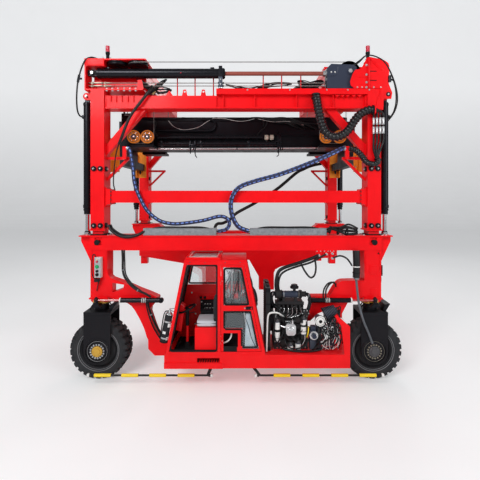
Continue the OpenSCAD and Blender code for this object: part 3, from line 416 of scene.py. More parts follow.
NODE_MATS = {
    "red": "near_sleeves far_sleeves near_mid_beam far_mid_beam near_top_beam far_top_beam cross_beams "
           "corner_braces left_tower right_tower near_chassis_beam near_lower_legs left_arm right_arm "
           "far_chassis_frame",
    "red_low": "platform cab_frame cab_roof cab_console door_frame",
    "dark_red": "near_masts far_masts",
    "chrome": "near_lift_rods far_lift_rods",
    "red_gloss": "left_steer_rod right_steer_rod",
    "glass": "cab_glass door_glass",
    "cloth": "driver_seat",
    "cast": "engine radiator",
    "grey": "hydraulics",
    "slate": "sheave_block",
    "bars": "safety_bars",
    "zinc": "cable_trays",
    "gloss_black": "lift_cylinders hoist_cylinder steering_barrels",
    "boxes": "service_boxes",
    "black": "tower_sheaves pad_adjusters spreader_box spreader_ends",
    "black_low": "left_yoke right_yoke far_yoke left_rim right_rim far_rim",
    "hose": "cable_duct",
    "lamp_red": "beacons",
    "tyre": "left_tyre right_tyre far_tyre",
    "orange": "spreader_sheaves corner_guides",
    "oxide": "hoist_rod",
    "guard": "left_hose right_hose",
    "rope": "rope_falls",
}
for key, names in NODE_MATS.items():
    for node_name in names.split():
        for slot in NODES[node_name].material_slots:
            slot.material = M[key]


# Mesh building
LEFT, RIGHT = Vector((-1, 0, 0)), Vector((1, 0, 0))
FRONT, BACK = Vector((0, -1, 0)), Vector((0, 1, 0))
DOWN, UP = Vector((0, 0, -1)), Vector((0, 0, 1))
BOX_FACES = [(0, 1, 3, 2), (4, 6, 7, 5), (0, 4, 5, 1), (2, 3, 7, 6), (0, 2, 6, 4), (1, 5, 7, 3)]


def spline(points, steps):
    """A smooth curve through the points."""
    pts = [Vector(p) for p in points]
    out = []
    for i in range(len(pts) - 1):
        a, b, c, d = pts[max(i - 1, 0)], pts[i], pts[i + 1], pts[min(i + 2, len(pts) - 1)]
        for k in range(steps):
            t = k / steps
            out.append(0.5 * (2 * b + (c - a) * t + (2 * a - 5 * b + 4 * c - d) * t * t
                              + (3 * b - a - 3 * c + d) * t ** 3))
    out.append(pts[-1])
    return out


def circle(centre, axis, r, n, u, start=0.0):
    """n points on a circle, the first of them in the direction u."""
    v = axis.cross(u)
    return [centre + (u * math.cos(f) + v * math.sin(f)) * r
            for f in (start + 2 * math.pi * k / n for k in range(n))]


def around(centre, axis, r, n, start=0.0):
    """n places for bolts on a circle."""
    t = Vector(axis).normalized()
    u = RIGHT if abs(t.x) < 0.9 else BACK
    return circle(Vector(centre), t, r, n, (u - t * u.dot(t)).normalized(), start)


def mesh_object(name, bm, mat):
    """The finished mesh as an object with smooth faces."""
    bmesh.ops.recalc_face_normals(bm, faces=bm.faces)
    mesh = bpy.data.meshes.new(name)
    bm.to_mesh(mesh)
    bm.free()
    mesh.materials.append(M[mat])
    for poly in mesh.polygons:
        poly.use_smooth = True
    obj = bpy.data.objects.new(name, mesh)
    bpy.context.scene.collection.objects.link(obj)
    return obj


class Piece:
    """One mesh of one material on one body, gathered from small closed solids; y is where their Y starts."""

    def __init__(self, name, body, mat, sharp=38, y=0.0):
        self.name, self.body, self.mat, self.sharp, self.y = name, body, mat, sharp, y
        self.bm = bmesh.new()

    def at(self, p):
        return Vector((p[0], p[1] + self.y, p[2]))

    def shape(self, verts, faces, bevel=0.0):
        """A solid from its corners, which are full coordinates, and its faces."""
        new = [self.bm.verts.new(v) for v in verts]
        made = [self.bm.faces.new([new[i] for i in f]) for f in faces]
        if bevel:
            edges = list({e for f in made for e in f.edges})
            bmesh.ops.bevel(self.bm, geom=edges, offset=bevel, segments=2, affect="EDGES", profile=0.6)
        return self

    def skin(self, rings, closed=False):
        """Faces from each ring of points to the next, with both ends covered or joined to each other."""
        rings = [[self.bm.verts.new(v) for v in ring] for ring in rings]
        n = len(rings[0])
        for low, high in zip(rings, rings[1:] + rings[:closed]):
            for k in range(n):
                self.bm.faces.new((low[k], low[(k + 1) % n], high[(k + 1) % n], high[k]))
        if not closed:
            self.bm.faces.new(rings[0][::-1])
            self.bm.faces.new(rings[-1])
        return self

    def box(self, lo, hi, bevel=0.004):
        verts = [self.at((x, y, z)) for x in (lo[0], hi[0]) for y in (lo[1], hi[1]) for z in (lo[2], hi[2])]
        return self.shape(verts, BOX_FACES, bevel)

    def bar(self, a, b, w, h, bevel=0.003):
        """A box from a to b, w wide along Y and h high across."""
        a, b = self.at(a), self.at(b)
        t = (b - a).normalized()
        up = t.cross(BACK if abs(t.y) < 0.9 else RIGHT).normalized() * (h / 2)
        side = up.cross(t).normalized() * (w / 2)
        return self.shape([p + s * side + u * up for p in (a, b) for s in (-1, 1) for u in (-1, 1)],
                          BOX_FACES, bevel)

    def prism(self, outline, axis, lo, hi, bevel=0.003):
        """A flat outline pushed along one axis; it gives the other two coordinates in their order."""
        k, n = "xyz".index(axis), len(outline)
        verts = [self.at((*p[:k], w, *p[k:])) for w in (lo, hi) for p in outline]
        faces = [tuple(range(n)), tuple(range(2 * n - 1, n - 1, -1))]
        faces += [(i, i + n, (i + 1) % n + n, (i + 1) % n) for i in range(n)]
        return self.shape(verts, faces, bevel)

    def lathe(self, start, axis, profile, n=24):
        """A turned solid: the profile gives distance along the axis and radius."""
        a, t = self.at(start), Vector(axis).normalized()
        u = t.orthogonal().normalized()
        return self.skin([circle(a + t * d, t, r, n, u) for d, r in profile])

    def cyl(self, a, b, r, n=20, edge=0.003):
        along = Vector(b) - Vector(a)
        edge = min(edge, r * 0.3, along.length * 0.3)
        end = along.length
        return self.lathe(a, along, [(0, r - edge), (edge, r), (end - edge, r), (end, r - edge)], n)

    def ring(self, centre, axis, r_out, r_in, thick, n=36):
        """A washer or band; its section is a rounded rectangle."""
        a, t = self.at(centre), Vector(axis).normalized()
        u = t.orthogonal().normalized()
        v = t.cross(u)
        e = min(0.25 * thick, 0.25 * (r_out - r_in))
        h = thick / 2
        section = [(r_in, -h + e), (r_in + e, -h), (r_out - e, -h), (r_out, -h + e),
                   (r_out, h - e), (r_out - e, h), (r_in + e, h), (r_in, h - e)]
        turns = [u * math.cos(f) + v * math.sin(f) for f in (2 * math.pi * k / n for k in range(n))]
        return self.skin([[a + out * r + t * d for r, d in section] for out in turns], True)

    def tube(self, points, r, n=10, steps=5, ribs=0.0, pitch=0.03):
        """A hose or pipe along a smooth curve, with rings where it is corrugated."""
        path = [self.at(p) for p in points]
        if steps:
            path = spline(path, steps)
        if ribs:
            path = even(path, pitch / 4)
        u = (path[1] - path[0]).normalized().orthogonal().normalized()
        rings = []
        for i, p in enumerate(path):
            t = (path[min(i + 1, len(path) - 1)] - path[max(i - 1, 0)]).normalized()
            u = (u - t * u.dot(t)).normalized()
            swell = 1 + ribs * (1, 0.3, -1, 0.3)[i % 4]
            rings.append(circle(p, t, r * swell, n, u))
        return self.skin(rings)

    def bolt(self, place, axis, r=0.016):
        """A hexagon head on its washer, standing on a face."""
        a, t = Vector(place), Vector(axis).normalized()
        self.lathe(a, t, [(0, r * 1.45), (r * 0.3, r * 1.4)], 12)
        return self.lathe(a + t * r * 0.3, t, [(0, r * 1.1), (r * 0.75, r * 1.1), (r * 1.0, r * 0.85)], 6)

    def bolts(self, places, axis, r=0.016):
        for p in places:
            self.bolt(p, axis, r)
        return self

    def done(self):
        """The piece as an object that rides on its body."""
        obj = mesh_object(self.name, self.bm, self.mat)
        obj.data.set_sharp_from_angle(angle=math.radians(self.sharp))
        if self.body:
            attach(obj, self.body)
        return obj


def even(path, step):
    """The same curve with points at equal distances."""
    out, left = [path[0]], step
    for a, b in zip(path, path[1:]):
        length = (b - a).length
        while length > 1e-9 and left <= length:
            a = a + (b - a) * (left / length)
            length = (b - a).length
            out.append(a)
            left = step
        left -= length
    return out


def seam(piece, a, b, r=0.006):
    """A bead of weld: a thin six-sided tube along the line."""
    a, b = Vector(a), Vector(b)
    count = max(2, int((b - a).length / 0.05))
    piece.tube([a.lerp(b, k / count) for k in range(count + 1)], r, 6, 0)


# Wheels and yokes
FORK_Y = 0.299
STEER_Y = NEAR_Y - 0.33
STEER_Z = 1.725


def tyre(name, x, y, node, body):
    piece = Piece(name, body, "tyre", 30)
    centre = Vector((x, y, WHEEL_R))
    profile = [(0.381, 0.18), (0.4, 0.205), (0.43, 0.214), (0.455, 0.2235), (0.5, 0.2245), (0.535, 0.219),
               (0.545, 0.212), (0.575, 0.205), (0.588, 0.17), (0.592, 0.06), (0.592, 0.0)]
    profile = profile + [(r, -w) for r, w in profile[-2::-1]]
    piece.lathe(centre, BACK, [(w, r) for r, w in profile], 64)
    lug = [(0.575, 0.012), (0.6235, 0.012), (0.6235, 0.172), (0.61, 0.205), (0.56, 0.2245),
           (0.532, 0.2245), (0.54, 0.19)]
    count = 26
    for side in (-1, 1):
        for k in range(count):
            a0 = 2 * math.pi * (k + (0.5 if side > 0 else 0)) / count
            verts, faces = [], []
            spans = [a0 + 2 * math.pi / count * f for f in (0.0, 0.3, 0.6)]
            for a in spans:
                for r, w in lug:
                    f = a + 0.35 * (w - 0.1)
                    verts.append(centre + Vector((math.cos(f) * r, side * w, math.sin(f) * r)))
            m = len(lug)
            for j in range(len(spans) - 1):
                for i in range(m):
                    faces.append((j * m + i, j * m + (i + 1) % m, (j + 1) * m + (i + 1) % m,
                                  (j + 1) * m + i))
            faces.append(tuple(range(m))[::-1])
            faces.append(tuple(range((len(spans) - 1) * m, len(spans) * m)))
            piece.shape(verts, faces)
    obj = piece.done()
    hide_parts(node)
    marks = Piece(name + "_wear_rings", body, "wear")
    for s in (-1, 1):
        marks.ring(centre + Vector((0, s * 0.2235, 0)), BACK, 0.449, 0.438, 0.004, 64)
        marks.ring(centre + Vector((0, s * 0.21, 0)), BACK, 0.418, 0.411, 0.008, 64)
    marks.done()


def wheel_trim(name, x, y, wheel, yoke, hub_mat):
    centre = Vector((x, y, WHEEL_R))
    rim = Piece(name + "_rim_edges", wheel, "black_low")
    for s in (-1, 1):
        rim.ring(centre + Vector((0, s * 0.183, 0)), BACK, 0.3795, 0.345, 0.03, 48)
        rim.bolts(around(centre + Vector((0, s * 0.02, 0)), BACK, 0.26, 12), (0, s, 0), 0.017)
    rim.done()
    hub = Piece(name + "_hub", yoke, hub_mat)
    light = Piece(name + "_hub_bolts", yoke, "steel" if x < 0 else "aged")
    dark = Piece(name + "_hub_plate", yoke, "black_low")
    for s in (-1, 1):
        face = centre + Vector((0, s * 0.277, 0))
        axis = (0, s, 0)
        dark.lathe(face, axis, [(0, 0.212), (0.004, 0.212), (0.007, 0.2), (0.012, 0.165),
                                (0.014, 0.105)], 48)
        dark.ring(face - Vector((0, s * 0.012, 0)), BACK, 0.214, 0.19, 0.03, 48)
        hub.lathe(face, axis, [(0, 0.118), (0.024, 0.113), (0.028, 0.074), (0.04, 0.066),
                               (0.044, 0.02)], 40)
        light.bolts(around(face + Vector((0, s * 0.013, 0)), axis, 0.142, 16, 0.1), axis, 0.0135)
        hub.bolts(around(face + Vector((0, s * 0.026, 0)), axis, 0.094, 6), axis, 0.009)
        light.ring(face + Vector((0, s * 0.003, 0)), BACK, 0.2155, 0.2095, 0.008, 56)
    hub.done()
    dark.done()
    light.done()


def yoke_trim(name, x, y, body, post_top):
    trim = Piece(name + "_trim", body, "black_low")
    for s in (-1, 1):
        face_y = y + s * FORK_Y
        trim.ring((x, face_y + s * 0.004, WHEEL_R), BACK, 0.284, 0.243, 0.012, 56)
        for dx in (-0.24, 0.24):
            trim.prism([(x + dx - 0.012, 1.46), (x + dx + 0.012, 1.46),
                        (x + dx * 0.6 + 0.012, post_top - 0.06), (x + dx * 0.6 - 0.012, post_top - 0.06)],
                        "y", y + s * 0.05 - 0.01, y + s * 0.05 + 0.01)
        trim.box((x - 0.284, min(face_y, face_y + s * 0.01), 1.395),
                 (x + 0.284, max(face_y, face_y + s * 0.01), 1.459))
    trim.done()
    Piece(name + "_collar", body, "gold").ring((x, y, post_top - 0.02), UP, 0.2, 0.149, 0.036, 40).done()
    Piece(name + "_bolts", body, "dark_steel").bolts(around((x, y, post_top - 0.038), DOWN, 0.176, 16),
            DOWN, 0.012).done()


WHEELS = (("left", -KING_X, NEAR_Y, "gold", 1.645), ("right", KING_X, NEAR_Y, "hub_dark", 1.645),
          ("far", 0.0, FAR_Y, "hub_dark", 1.875))
for side, wx, wy, hub_key, post in WHEELS:
    tyre(side + "_tread", wx, wy, side + "_tyre", side + "_wheel")
    wheel_trim(side + "_wheel", wx, wy, side + "_wheel", side + "_yoke", hub_key)
    yoke_trim(side + "_yoke", wx, wy, side + "_yoke", post)
for side, wx in (("left", -KING_X), ("right", KING_X)):
    lug = Piece(side + "_steer_lug", side + "_yoke", "black", y=STEER_Y)
    lug.prism([(wx - 0.11, 1.585), (wx + 0.11, 1.585), (wx + 0.068, 1.645), (wx - 0.068, 1.645)], "y",
              -0.052, 0.03, 0.004)
    lug.prism([(wx - 0.066, 1.64), (wx + 0.066, 1.64), (wx + 0.046, 1.686), (wx - 0.046, 1.686)], "y",
              -0.052, -0.026, 0.004)
    lug.done()
    eye = Piece(side + "_rod_eye", side + "_steer_rod", "black")
    eye.ring((wx, STEER_Y, STEER_Z), UP, 0.05, 0.0445, 0.056, 32)
    eye.lathe((wx, STEER_Y, STEER_Z + 0.029), UP,
              [(0, 0.044), (0.012, 0.04), (0.02, 0.026), (0.034, 0.022), (0.04, 0.012)], 24)
    eye.done()

# Steering: amber lamps on the leg rings, tilted guard plates, cylinder fittings
for side, sx in (("left", -1), ("right", 1)):
    lamp = Piece(side + "_marker_lamp", NEAR, "lamp_amber")
    lx = sx * 2.92
    lamp.box((lx - 0.115, NEAR_Y - 0.262, 1.652), (lx + 0.115, NEAR_Y - 0.225, 1.705), 0.012)
    lamp.done()
    plate = Piece(side + "_crown_guard", side + "_yoke", "black_low")
    gx = sx * KING_X + 0.27
    plate.prism([(gx - 0.06, 1.462), (gx + 0.012, 1.462), (gx + 0.1, 1.61), (gx + 0.085, 1.622),
                 (gx - 0.01, 1.6)], "y", NEAR_Y - 0.2, NEAR_Y + 0.2)
    plate.done()
    fit = Piece(side + "_steer_fittings", NEAR, "white")
    fit.ring((sx * 2.435, STEER_Y, STEER_Z), RIGHT, 0.056, 0.028, 0.03)
    for k in range(3):
        fit.ring((sx * (1.9 + 0.035 * k), STEER_Y, STEER_Z), RIGHT, 0.0525, 0.0495, 0.012)
    fit.done()
    eye = Piece(side + "_steer_eye", NEAR, "gloss_black", y=STEER_Y)
    eye.ring((sx * 1.575, 0, STEER_Z), BACK, 0.055, 0.024, 0.07)
    eye.cyl((sx * 1.575, -0.05, STEER_Z), (sx * 1.575, 0.14, STEER_Z), 0.023)
    eye.done()

# Ball ends of the safety bars
ends = Piece("bar_ball_ends", NEAR, "white")
for bx in (-3.01, -0.49, 0.42, 3.01):
    s = 1 if bx in (-0.49, 3.01) else -1
    ends.lathe((bx - s * 0.03, NEAR_Y - 0.56, 0.25), (s, 0, 0),
               [(0, 0.012), (0.008, 0.03), (0.025, 0.042), (0.045, 0.042), (0.062, 0.028),
               (0.068, 0.01)], 20)
ends.done()


# Guarded hoses between the chassis and the gantry
HOSE_ROUTES = {
    "left": (0.08, [
        (-2.3697, -0.1, 4.96), (-2.3, -0.115, 4.92), (-2.21, -0.19, 4.528), (-2.159, -0.22, 4.178),
        (-2.047, -0.22, 3.881), (-1.883, -0.215, 3.6), (-1.641, -0.2, 3.4), (-1.374, -0.19, 3.33),
        (-1.098, -0.19, 3.34), (-0.695, -0.19, 3.4), (-0.36, -0.18, 3.485), (-0.19, -0.16, 3.44),
        (-0.14, -0.145, 3.32), (-0.22, -0.14, 3.2), (-0.4197, -0.14, 3.16)]),
    "right": (0.098, [
        (2.3697, -0.1, 4.96), (2.29, -0.12, 4.945), (2.098, -0.18, 4.85), (1.61, -0.22, 4.637),
        (0.96, -0.22, 4.393), (0.419, -0.22, 4.242), (0.095, -0.22, 4.12), (-0.06, -0.22, 3.94),
        (-0.109, -0.22, 3.716), (-0.067, -0.2, 3.474), (0.06, -0.16, 3.26), (0.2997, -0.14, 3.16)]),
}


def length_map(obj, path, n):
    """UV map of a tube: metres along it and turns round it."""
    along = [0.0]
    for a, b in zip(path, path[1:]):
        along.append(along[-1] + (b - a).length)
    layer = obj.data.uv_layers.new(name="along")
    for poly in obj.data.polygons:
        if poly.index < (len(path) - 1) * n:
            for loop in poly.loop_indices:
                ring, k = divmod(obj.data.loops[loop].vertex_index, n)
                turn = n if poly.index % n == n - 1 and k == 0 else k
                layer.data[loop].uv = (along[ring], turn / n)


def guarded_hose(side, d, route):
    path = spline([(x, NEAR_Y + dy, z) for x, dy, z in route], 12)
    hose = Piece(side + "_guarded_hose", None, "guard")
    hose.tube(path, d / 2, 16, 0)
    obj = hose.done()
    length_map(obj, path, 16)
    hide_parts(side + "_hose")
    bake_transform(obj)


for side, (hose_d, hose_route) in HOSE_ROUTES.items():
    guarded_hose(side, hose_d, hose_route)

# Ends of the hoses: band clamps, and ferrules on the trays
ends = Piece("hose_clamps", "gantry", "steel")
for s, d in ((-1, 0.08), (1, 0.098)):
    ends.ring((s * 2.362, NEAR_Y - 0.1, 4.96), RIGHT, d / 2 + 0.008, d / 2 - 0.004, 0.02)
    ends.ring((s * 2.335, NEAR_Y - 0.102, 4.955), (1, 0, 0.15), d / 2 + 0.006, d / 2 - 0.004, 0.014)
ends.done()
ends = Piece("hose_ferrules", NEAR, "steel")
for x, d in ((-0.408, 0.08), (0.288, 0.098)):
    ends.ring((x, NEAR_Y - 0.14, 3.16), RIGHT, d / 2 + 0.01, d / 2 - 0.004, 0.03)
ends.done()

# Hoist ropes along the top: from a turnbuckle round the block's sheave and back to the tower's sheaves
HOIST_Y = NEAR_Y - 0.04
HOIST_Z = 6.6
ROPE_Z = 6.394
ROPE_END_Z = 6.33
ROPE_R = 0.0095
SHEAVE = Vector((2.47, HOIST_Y, HOIST_Z + 0.024))
SHEAVE_R = 0.23


def hoist_ropes():
    """The running rope, its fixed end, their fittings and turnbuckles."""
    arc = [SHEAVE + Vector((math.sin(a), 0, math.cos(a))) * SHEAVE_R
           for a in (math.pi * k / 24 for k in range(25))]
    tower = Vector((-2.15, NEAR_Y + 0.01, 6.8))
    wrap = [tower + Vector((math.sin(a), -math.cos(a), 0)) * 0.2
            for a in (math.pi * k / 16 for k in range(0, -17, -1))]
    top = [wrap[0].lerp(arc[0], k / 30) for k in range(1, 30)]
    low = [arc[-1].lerp(Vector((-2.72, HOIST_Y, ROPE_Z)), k / 30) for k in range(1, 31)]
    rope = Piece("hoist_rope", None, "rope")
    rope.tube(wrap[::-1] + top + arc + low, ROPE_R, 8, 0)
    obj = rope.done()
    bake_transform(obj)
    rope = Piece("hoist_rope_end", None, "rope")
    start, end = Vector((-2.72, HOIST_Y, ROPE_END_Z)), Vector((1.93, HOIST_Y, ROPE_END_Z))
    rope.tube([start.lerp(end, k / 30) for k in range(31)], ROPE_R, 8, 0)
    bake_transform(rope.done())
    socket = Piece("rope_end_socket", "hoist_block", "steel", y=HOIST_Y)
    socket.cyl((1.86, 0, ROPE_END_Z), (1.96, 0, ROPE_END_Z), 0.019)
    socket.lathe((1.955, 0, ROPE_END_Z), RIGHT, [(0, 0.03), (0.012, 0.03)], 6)
    socket.done()
    bush = Piece("rope_bushes", "gantry", "gloss_black")
    for z in (ROPE_Z, ROPE_END_Z):
        bush.cyl((-0.395, HOIST_Y, z), (-0.265, HOIST_Y, z), 0.024)
    bush.done()
    turn = Piece("turnbuckles", "gantry", "aged", y=HOIST_Y)
    for z in (ROPE_Z, ROPE_END_Z):
        turn.cyl((-3.225, 0, z), (-3.13, 0, z), 0.013, 12)
        turn.ring((-3.14, 0, z), BACK, 0.027, 0.012, 0.022, 20)
        turn.bar((-3.11, -0.02, z), (-2.92, -0.02, z), 0.01, 0.02)
        turn.bar((-3.11, 0.02, z), (-2.92, 0.02, z), 0.01, 0.02)
        for x in (-3.115, -2.92):
            turn.cyl((x - 0.014, 0, z), (x + 0.014, 0, z), 0.026, 6)
        turn.cyl((-3.0, 0, z), (-2.85, 0, z), 0.011, 12)
        turn.ring((-2.855, 0, z), BACK, 0.026, 0.011, 0.022, 20)
        turn.lathe((-2.84, 0, z), RIGHT, [(0, 0.024), (0.05, 0.022), (0.12, 0.013)], 16)
    turn.done()


hoist_ropes()


SHEAVE_MID, SHEAVE_DX, SHEAVE_Y, SHEAVE_Z = 2.365, 0.165, 0.9, 5.39
CROSS_Z = 6.45


def rope_falls():
    """Ropes from the cross beams down round the spreader's sheaves."""
    drum = 0.1593
    rope = Piece("spreader_falls", None, "rope")
    under = Piece("spreader_rope_turns", "spreader", "rope")
    for sx in (-1, 1):
        for sy in (-1, 1):
            y = MID_Y + sy * SHEAVE_Y
            for s in (-1, 1):
                x = sx * SHEAVE_MID + s * (SHEAVE_DX + drum)
                path = [Vector((x, y, CROSS_Z - (CROSS_Z - SHEAVE_Z) * k / 24)) for k in range(25)]
                rope.tube(path, 0.009, 8, 0)
            turn = []
            for s in (-1, 1):
                for k in range(9):
                    a = math.pi / 2 * k / 8
                    a = a if s < 0 else math.pi / 2 - a
                    centre = Vector((sx * SHEAVE_MID + s * SHEAVE_DX, y, SHEAVE_Z))
                    turn.append(centre + Vector((s * math.cos(a), 0, -math.sin(a))) * drum)
            under.tube(turn, 0.009, 8, 0)
    obj = rope.done()
    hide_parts("rope_falls")
    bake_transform(obj)
    under.done()


rope_falls()

# Ribbed cable duct in front of the top beam, its collar and the bundle that leaves it
DUCT_Z = 5.69
DUCT = [(1.72, -0.18, 0.4197), (1.722, -0.195, 0.35), (1.735, -0.26, 0.2), (1.75, -0.3, 0.06),
        (1.775, -0.31, -0.06), (1.82, -0.32, -0.25), (1.905, -0.325, -0.42), (2.07, -0.33, -0.52),
        (2.25, -0.325, -0.48), (2.39, -0.315, -0.36), (2.5, -0.305, -0.19), (2.64, -0.3, -0.03),
        (2.8, -0.295, 0.05), (2.9197, -0.295, 0.055)]
duct = Piece("ribbed_duct", "gantry", "duct", 50)
duct.tube([(x, NEAR_Y + dy, DUCT_Z + dz) for x, dy, dz in DUCT], 0.084, 24, 8, 0.13, 0.072)
duct_obj = duct.done()
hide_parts("cable_duct")
collar = Piece("duct_collars", "gantry", "gloss_black")
collar.ring((1.721, NEAR_Y - 0.19, 6.02), (0, -0.3, 1), 0.104, 0.07, 0.05)
collar.ring((2.9, NEAR_Y - 0.295, 5.745), RIGHT, 0.104, 0.07, 0.036)
collar.done()


def bundle(name, body, mat, start, end, count, spread, r, sag, seed):
    """Several hoses side by side between two places."""
    rnd = random.Random(seed)
    piece = Piece(name, body, mat)
    a, b = Vector(start), Vector(end)
    for _ in range(count):
        off = Vector((rnd.uniform(-1, 1), rnd.uniform(-1, 1), rnd.uniform(-1, 1)))
        mid = a.lerp(b, rnd.uniform(0.35, 0.65)) + Vector(sag) * rnd.uniform(0.6, 1.2) + off * spread
        piece.tube([a + off * spread * 0.4, a.lerp(mid, 0.5) + off * spread * 0.6, mid,
                    b.lerp(mid, 0.4) + off * spread * 0.5, b + off * spread * 0.3],
                    r * rnd.uniform(0.8, 1.2), 8, 4)
    piece.done()


# Hoses from the duct down to the tray beside the right mast, each with a union
drop = Piece("duct_hoses", "gantry", "hose")
unions = Piece("duct_unions", "gantry", "steel")
for i, ux in enumerate((374.0, 377.2, 380.3, 383.2)):
    x = CAMERA[0] + (ux - 243) * 8.0 / 377
    y = NEAR_Y - 0.25 - 0.012 * i
    drop.tube([(2.93, NEAR_Y - 0.295, 5.745 - 0.015 * i), (2.97 + 0.03 * i, y, 5.79 - 0.02 * i),
               (x, y, 5.62), (x, y, 5.35), (x, y, 5.1), (x - 0.02 * i, y, 4.92),
               (2.985 + 0.01 * i, y, 4.74)], 0.021, 10, 6)
    for z0, z1 in ((5.575, 5.45), (5.385, 5.26)):
        unions.cyl((x, y, z0), (x, y, z1), 0.026, 12)
        unions.cyl((x, y, z0 + 0.012), (x, y, z0 - 0.028), 0.03, 6)
        unions.cyl((x, y, z1 + 0.028), (x, y, z1 - 0.012), 0.03, 6)
drop.done()
unions.done()
lower = Piece("lower_corrugated_hose", "gantry", "duct", 50, y=NEAR_Y)
lower.tube([(2.99, -0.27, 4.74), (3.02, -0.28, 4.66), (2.93, -0.28, 4.6), (2.78, -0.27, 4.645),
            (2.68, -0.26, 4.78), (2.58, -0.2, 4.9), (2.47, -0.12, 4.955)], 0.06, 20, 8, 0.13, 0.056)
lower.done()

# Hoses outside the towers
outer = Piece("tower_hoses", "gantry", "hose", y=NEAR_Y)
outer.tube([(-3.0, -0.1, 6.9), (-3.13, -0.16, 6.91), (-3.25, -0.2, 6.8), (-3.37, -0.2, 6.45),
            (-3.41, -0.2, 6.1), (-3.425, -0.14, 5.8), (-3.41, -0.05, 5.68), (-3.34, 0, 5.66)], 0.017, 10, 6)
for k in (0, 1):
    outer.tube([(2.54, -0.12, 6.76 - 0.03 * k), (2.66, -0.16, 6.84 - 0.03 * k), (2.8, -0.22, 6.93),
                (3.02, -0.22, 6.895), (3.22, -0.22, 6.74), (3.39 + 0.012 * k, -0.21, 6.35),
                (3.44 + 0.03 * k, -0.19, 6.0), (3.42 + 0.02 * k, -0.1, 5.75),
                (3.34, -0.02 + 0.04 * k, 5.62 - 0.05 * k)], 0.0135, 10, 6)
outer.done()
joints = Piece("hose_connectors", "gantry", "gloss_black", y=NEAR_Y)
joints.cyl((-3.385, -0.2, 6.36), (-3.355, -0.2, 6.52), 0.028, 6)
joints.cyl((-3.3, -0.2, 6.44), (-3.37, -0.2, 6.44), 0.022, 12)
joints.cyl((3.29, -0.22, 6.36), (3.29, -0.22, 6.5), 0.034, 12)
joints.cyl((3.27, -0.22, 6.43), (3.38, -0.215, 6.4), 0.02, 12)
joints.done()
fits = Piece("lift_port_fittings", "gantry", "silver", y=NEAR_Y)
for s in (-1, 1):
    fits.cyl((s * 3.335, 0, 5.66), (s * 3.375, 0, 5.66), 0.026, 6)
    fits.cyl((s * 3.38, -0.01, 5.655), (s * 3.395, -0.02, 5.66), 0.021, 12)
fits.done()

# Lift cylinders: end rings, glands and ports
LIFT_X = 3.26
cyl = Piece("lift_cylinder_rings", "gantry", "gloss_black")
nuts = Piece("lift_cylinder_bolts", "gantry", "steel")
for y in (NEAR_Y, FAR_Y):
    for s in (-1, 1):
        x = s * LIFT_X
        for z, r, h in ((3.7, 0.092, 0.07), (5.93, 0.09, 0.05), (3.63, 0.084, 0.05)):
            cyl.ring((x, y, z), UP, r, 0.073, h, 40)
        cyl.box((x + s * 0.07, y - 0.03, 5.62), (x + s * 0.11, y + 0.03, 5.7), 0.006)
        nuts.bolts(around((x, y, 3.53), DOWN, 0.06, 8), DOWN, 0.008)
        nuts.bolts([(x, y - 0.078, 6.1)], FRONT, 0.02)
        cyl.ring((x, y, 3.14), UP, 0.058, 0.043, 0.04, 24)
cyl.done()
nuts.done()

# Wear pad adjusters: lock nut, screw, and a ring with four bolts
screws = Piece("adjuster_screws", "gantry", "steel")
caps = Piece("adjuster_rings", "gantry", "gloss_black")
for y, s in ((NEAR_Y, -1), (FAR_Y, 1)):
    face = y + s * 0.23
    for z in (3.29, 4.51):
        for side in (-1, 1):
            for dx in (-0.07, 0.07):
                x = side * LEG_X + dx
                caps.ring((x, face - s * 0.004, z), BACK, 0.053, 0.026, 0.012, 28)
                caps.bolts(around((x, face, z), (0, s, 0), 0.04, 4, 0.785), (0, s, 0), 0.006)
                screws.cyl((x, face, z), (x, face + s * 0.022, z), 0.021, 6)
                screws.cyl((x, face + s * 0.022, z), (x, face + s * 0.04, z), 0.011, 12)
            screws.cyl((side * 2.795, y - 0.1, z), (side * 2.77, y - 0.1, z), 0.021, 6)
caps.done()
screws.done()


# Top beam: gussets, posts with their rail, bolts and joint plate
BEAM_FACE = NEAR_Y - 0.15
BEAM_LOW, BEAM_TOP = 5.84, 6.09
trim = Piece("top_beam_gussets", "gantry", "red")
for gx in (-2.69, -2.57, -2.45, -2.32, -2.2):
    trim.prism([(gx - 0.006, BEAM_TOP), (gx + 0.006, BEAM_TOP), (gx + 0.006, 5.95), (gx - 0.006, 5.95)],
               "y", BEAM_FACE - 0.035, BEAM_FACE)
for px in (-1.303, -0.911, -0.502):
    trim.cyl((px, NEAR_Y + 0.1, BEAM_TOP), (px, NEAR_Y + 0.1, 6.62), 0.014, 12)
for px in (0.603, 1.013, 1.438):
    trim.cyl((px, NEAR_Y + 0.1, 6.23), (px, NEAR_Y + 0.1, 6.62), 0.014, 12)
trim.cyl((-1.36, NEAR_Y + 0.1, 6.62), (1.49, NEAR_Y + 0.1, 6.62), 0.016, 12)
trim.prism([(-1.56, BEAM_TOP), (-1.36, BEAM_TOP), (-1.46, 6.24)], "y", NEAR_Y - 0.03, NEAR_Y + 0.03)
for gx in (2.18, 2.3, 2.41, 2.54, 2.66):
    trim.prism([(gx - 0.05, 6.105), (gx + 0.05, 6.105), (gx + 0.012, 6.06), (gx - 0.012, 6.06)], "y",
               NEAR_Y - 0.17, NEAR_Y - 0.09)
for x0, x1 in ((-2.82, -2.79), (2.79, 2.82)):
    trim.box((x0, BEAM_FACE - 0.012, 5.83), (x1, BEAM_FACE, BEAM_TOP))
trim.done()
pins = Piece("top_beam_bolts", "gantry", "steel")
for bx in (-2.78, -2.655, -2.53, -2.405, -2.28, -2.155):
    pins.bolt((bx, NEAR_Y - 0.165, 6.2), DOWN, 0.019)
    pins.bolt((bx, NEAR_Y - 0.165, 6.23), UP, 0.019)
for bx in (0.25, 1.16, 1.95, 2.4, 2.86):
    pins.bolt((bx, NEAR_Y - 0.2, 6.2), FRONT, 0.012)
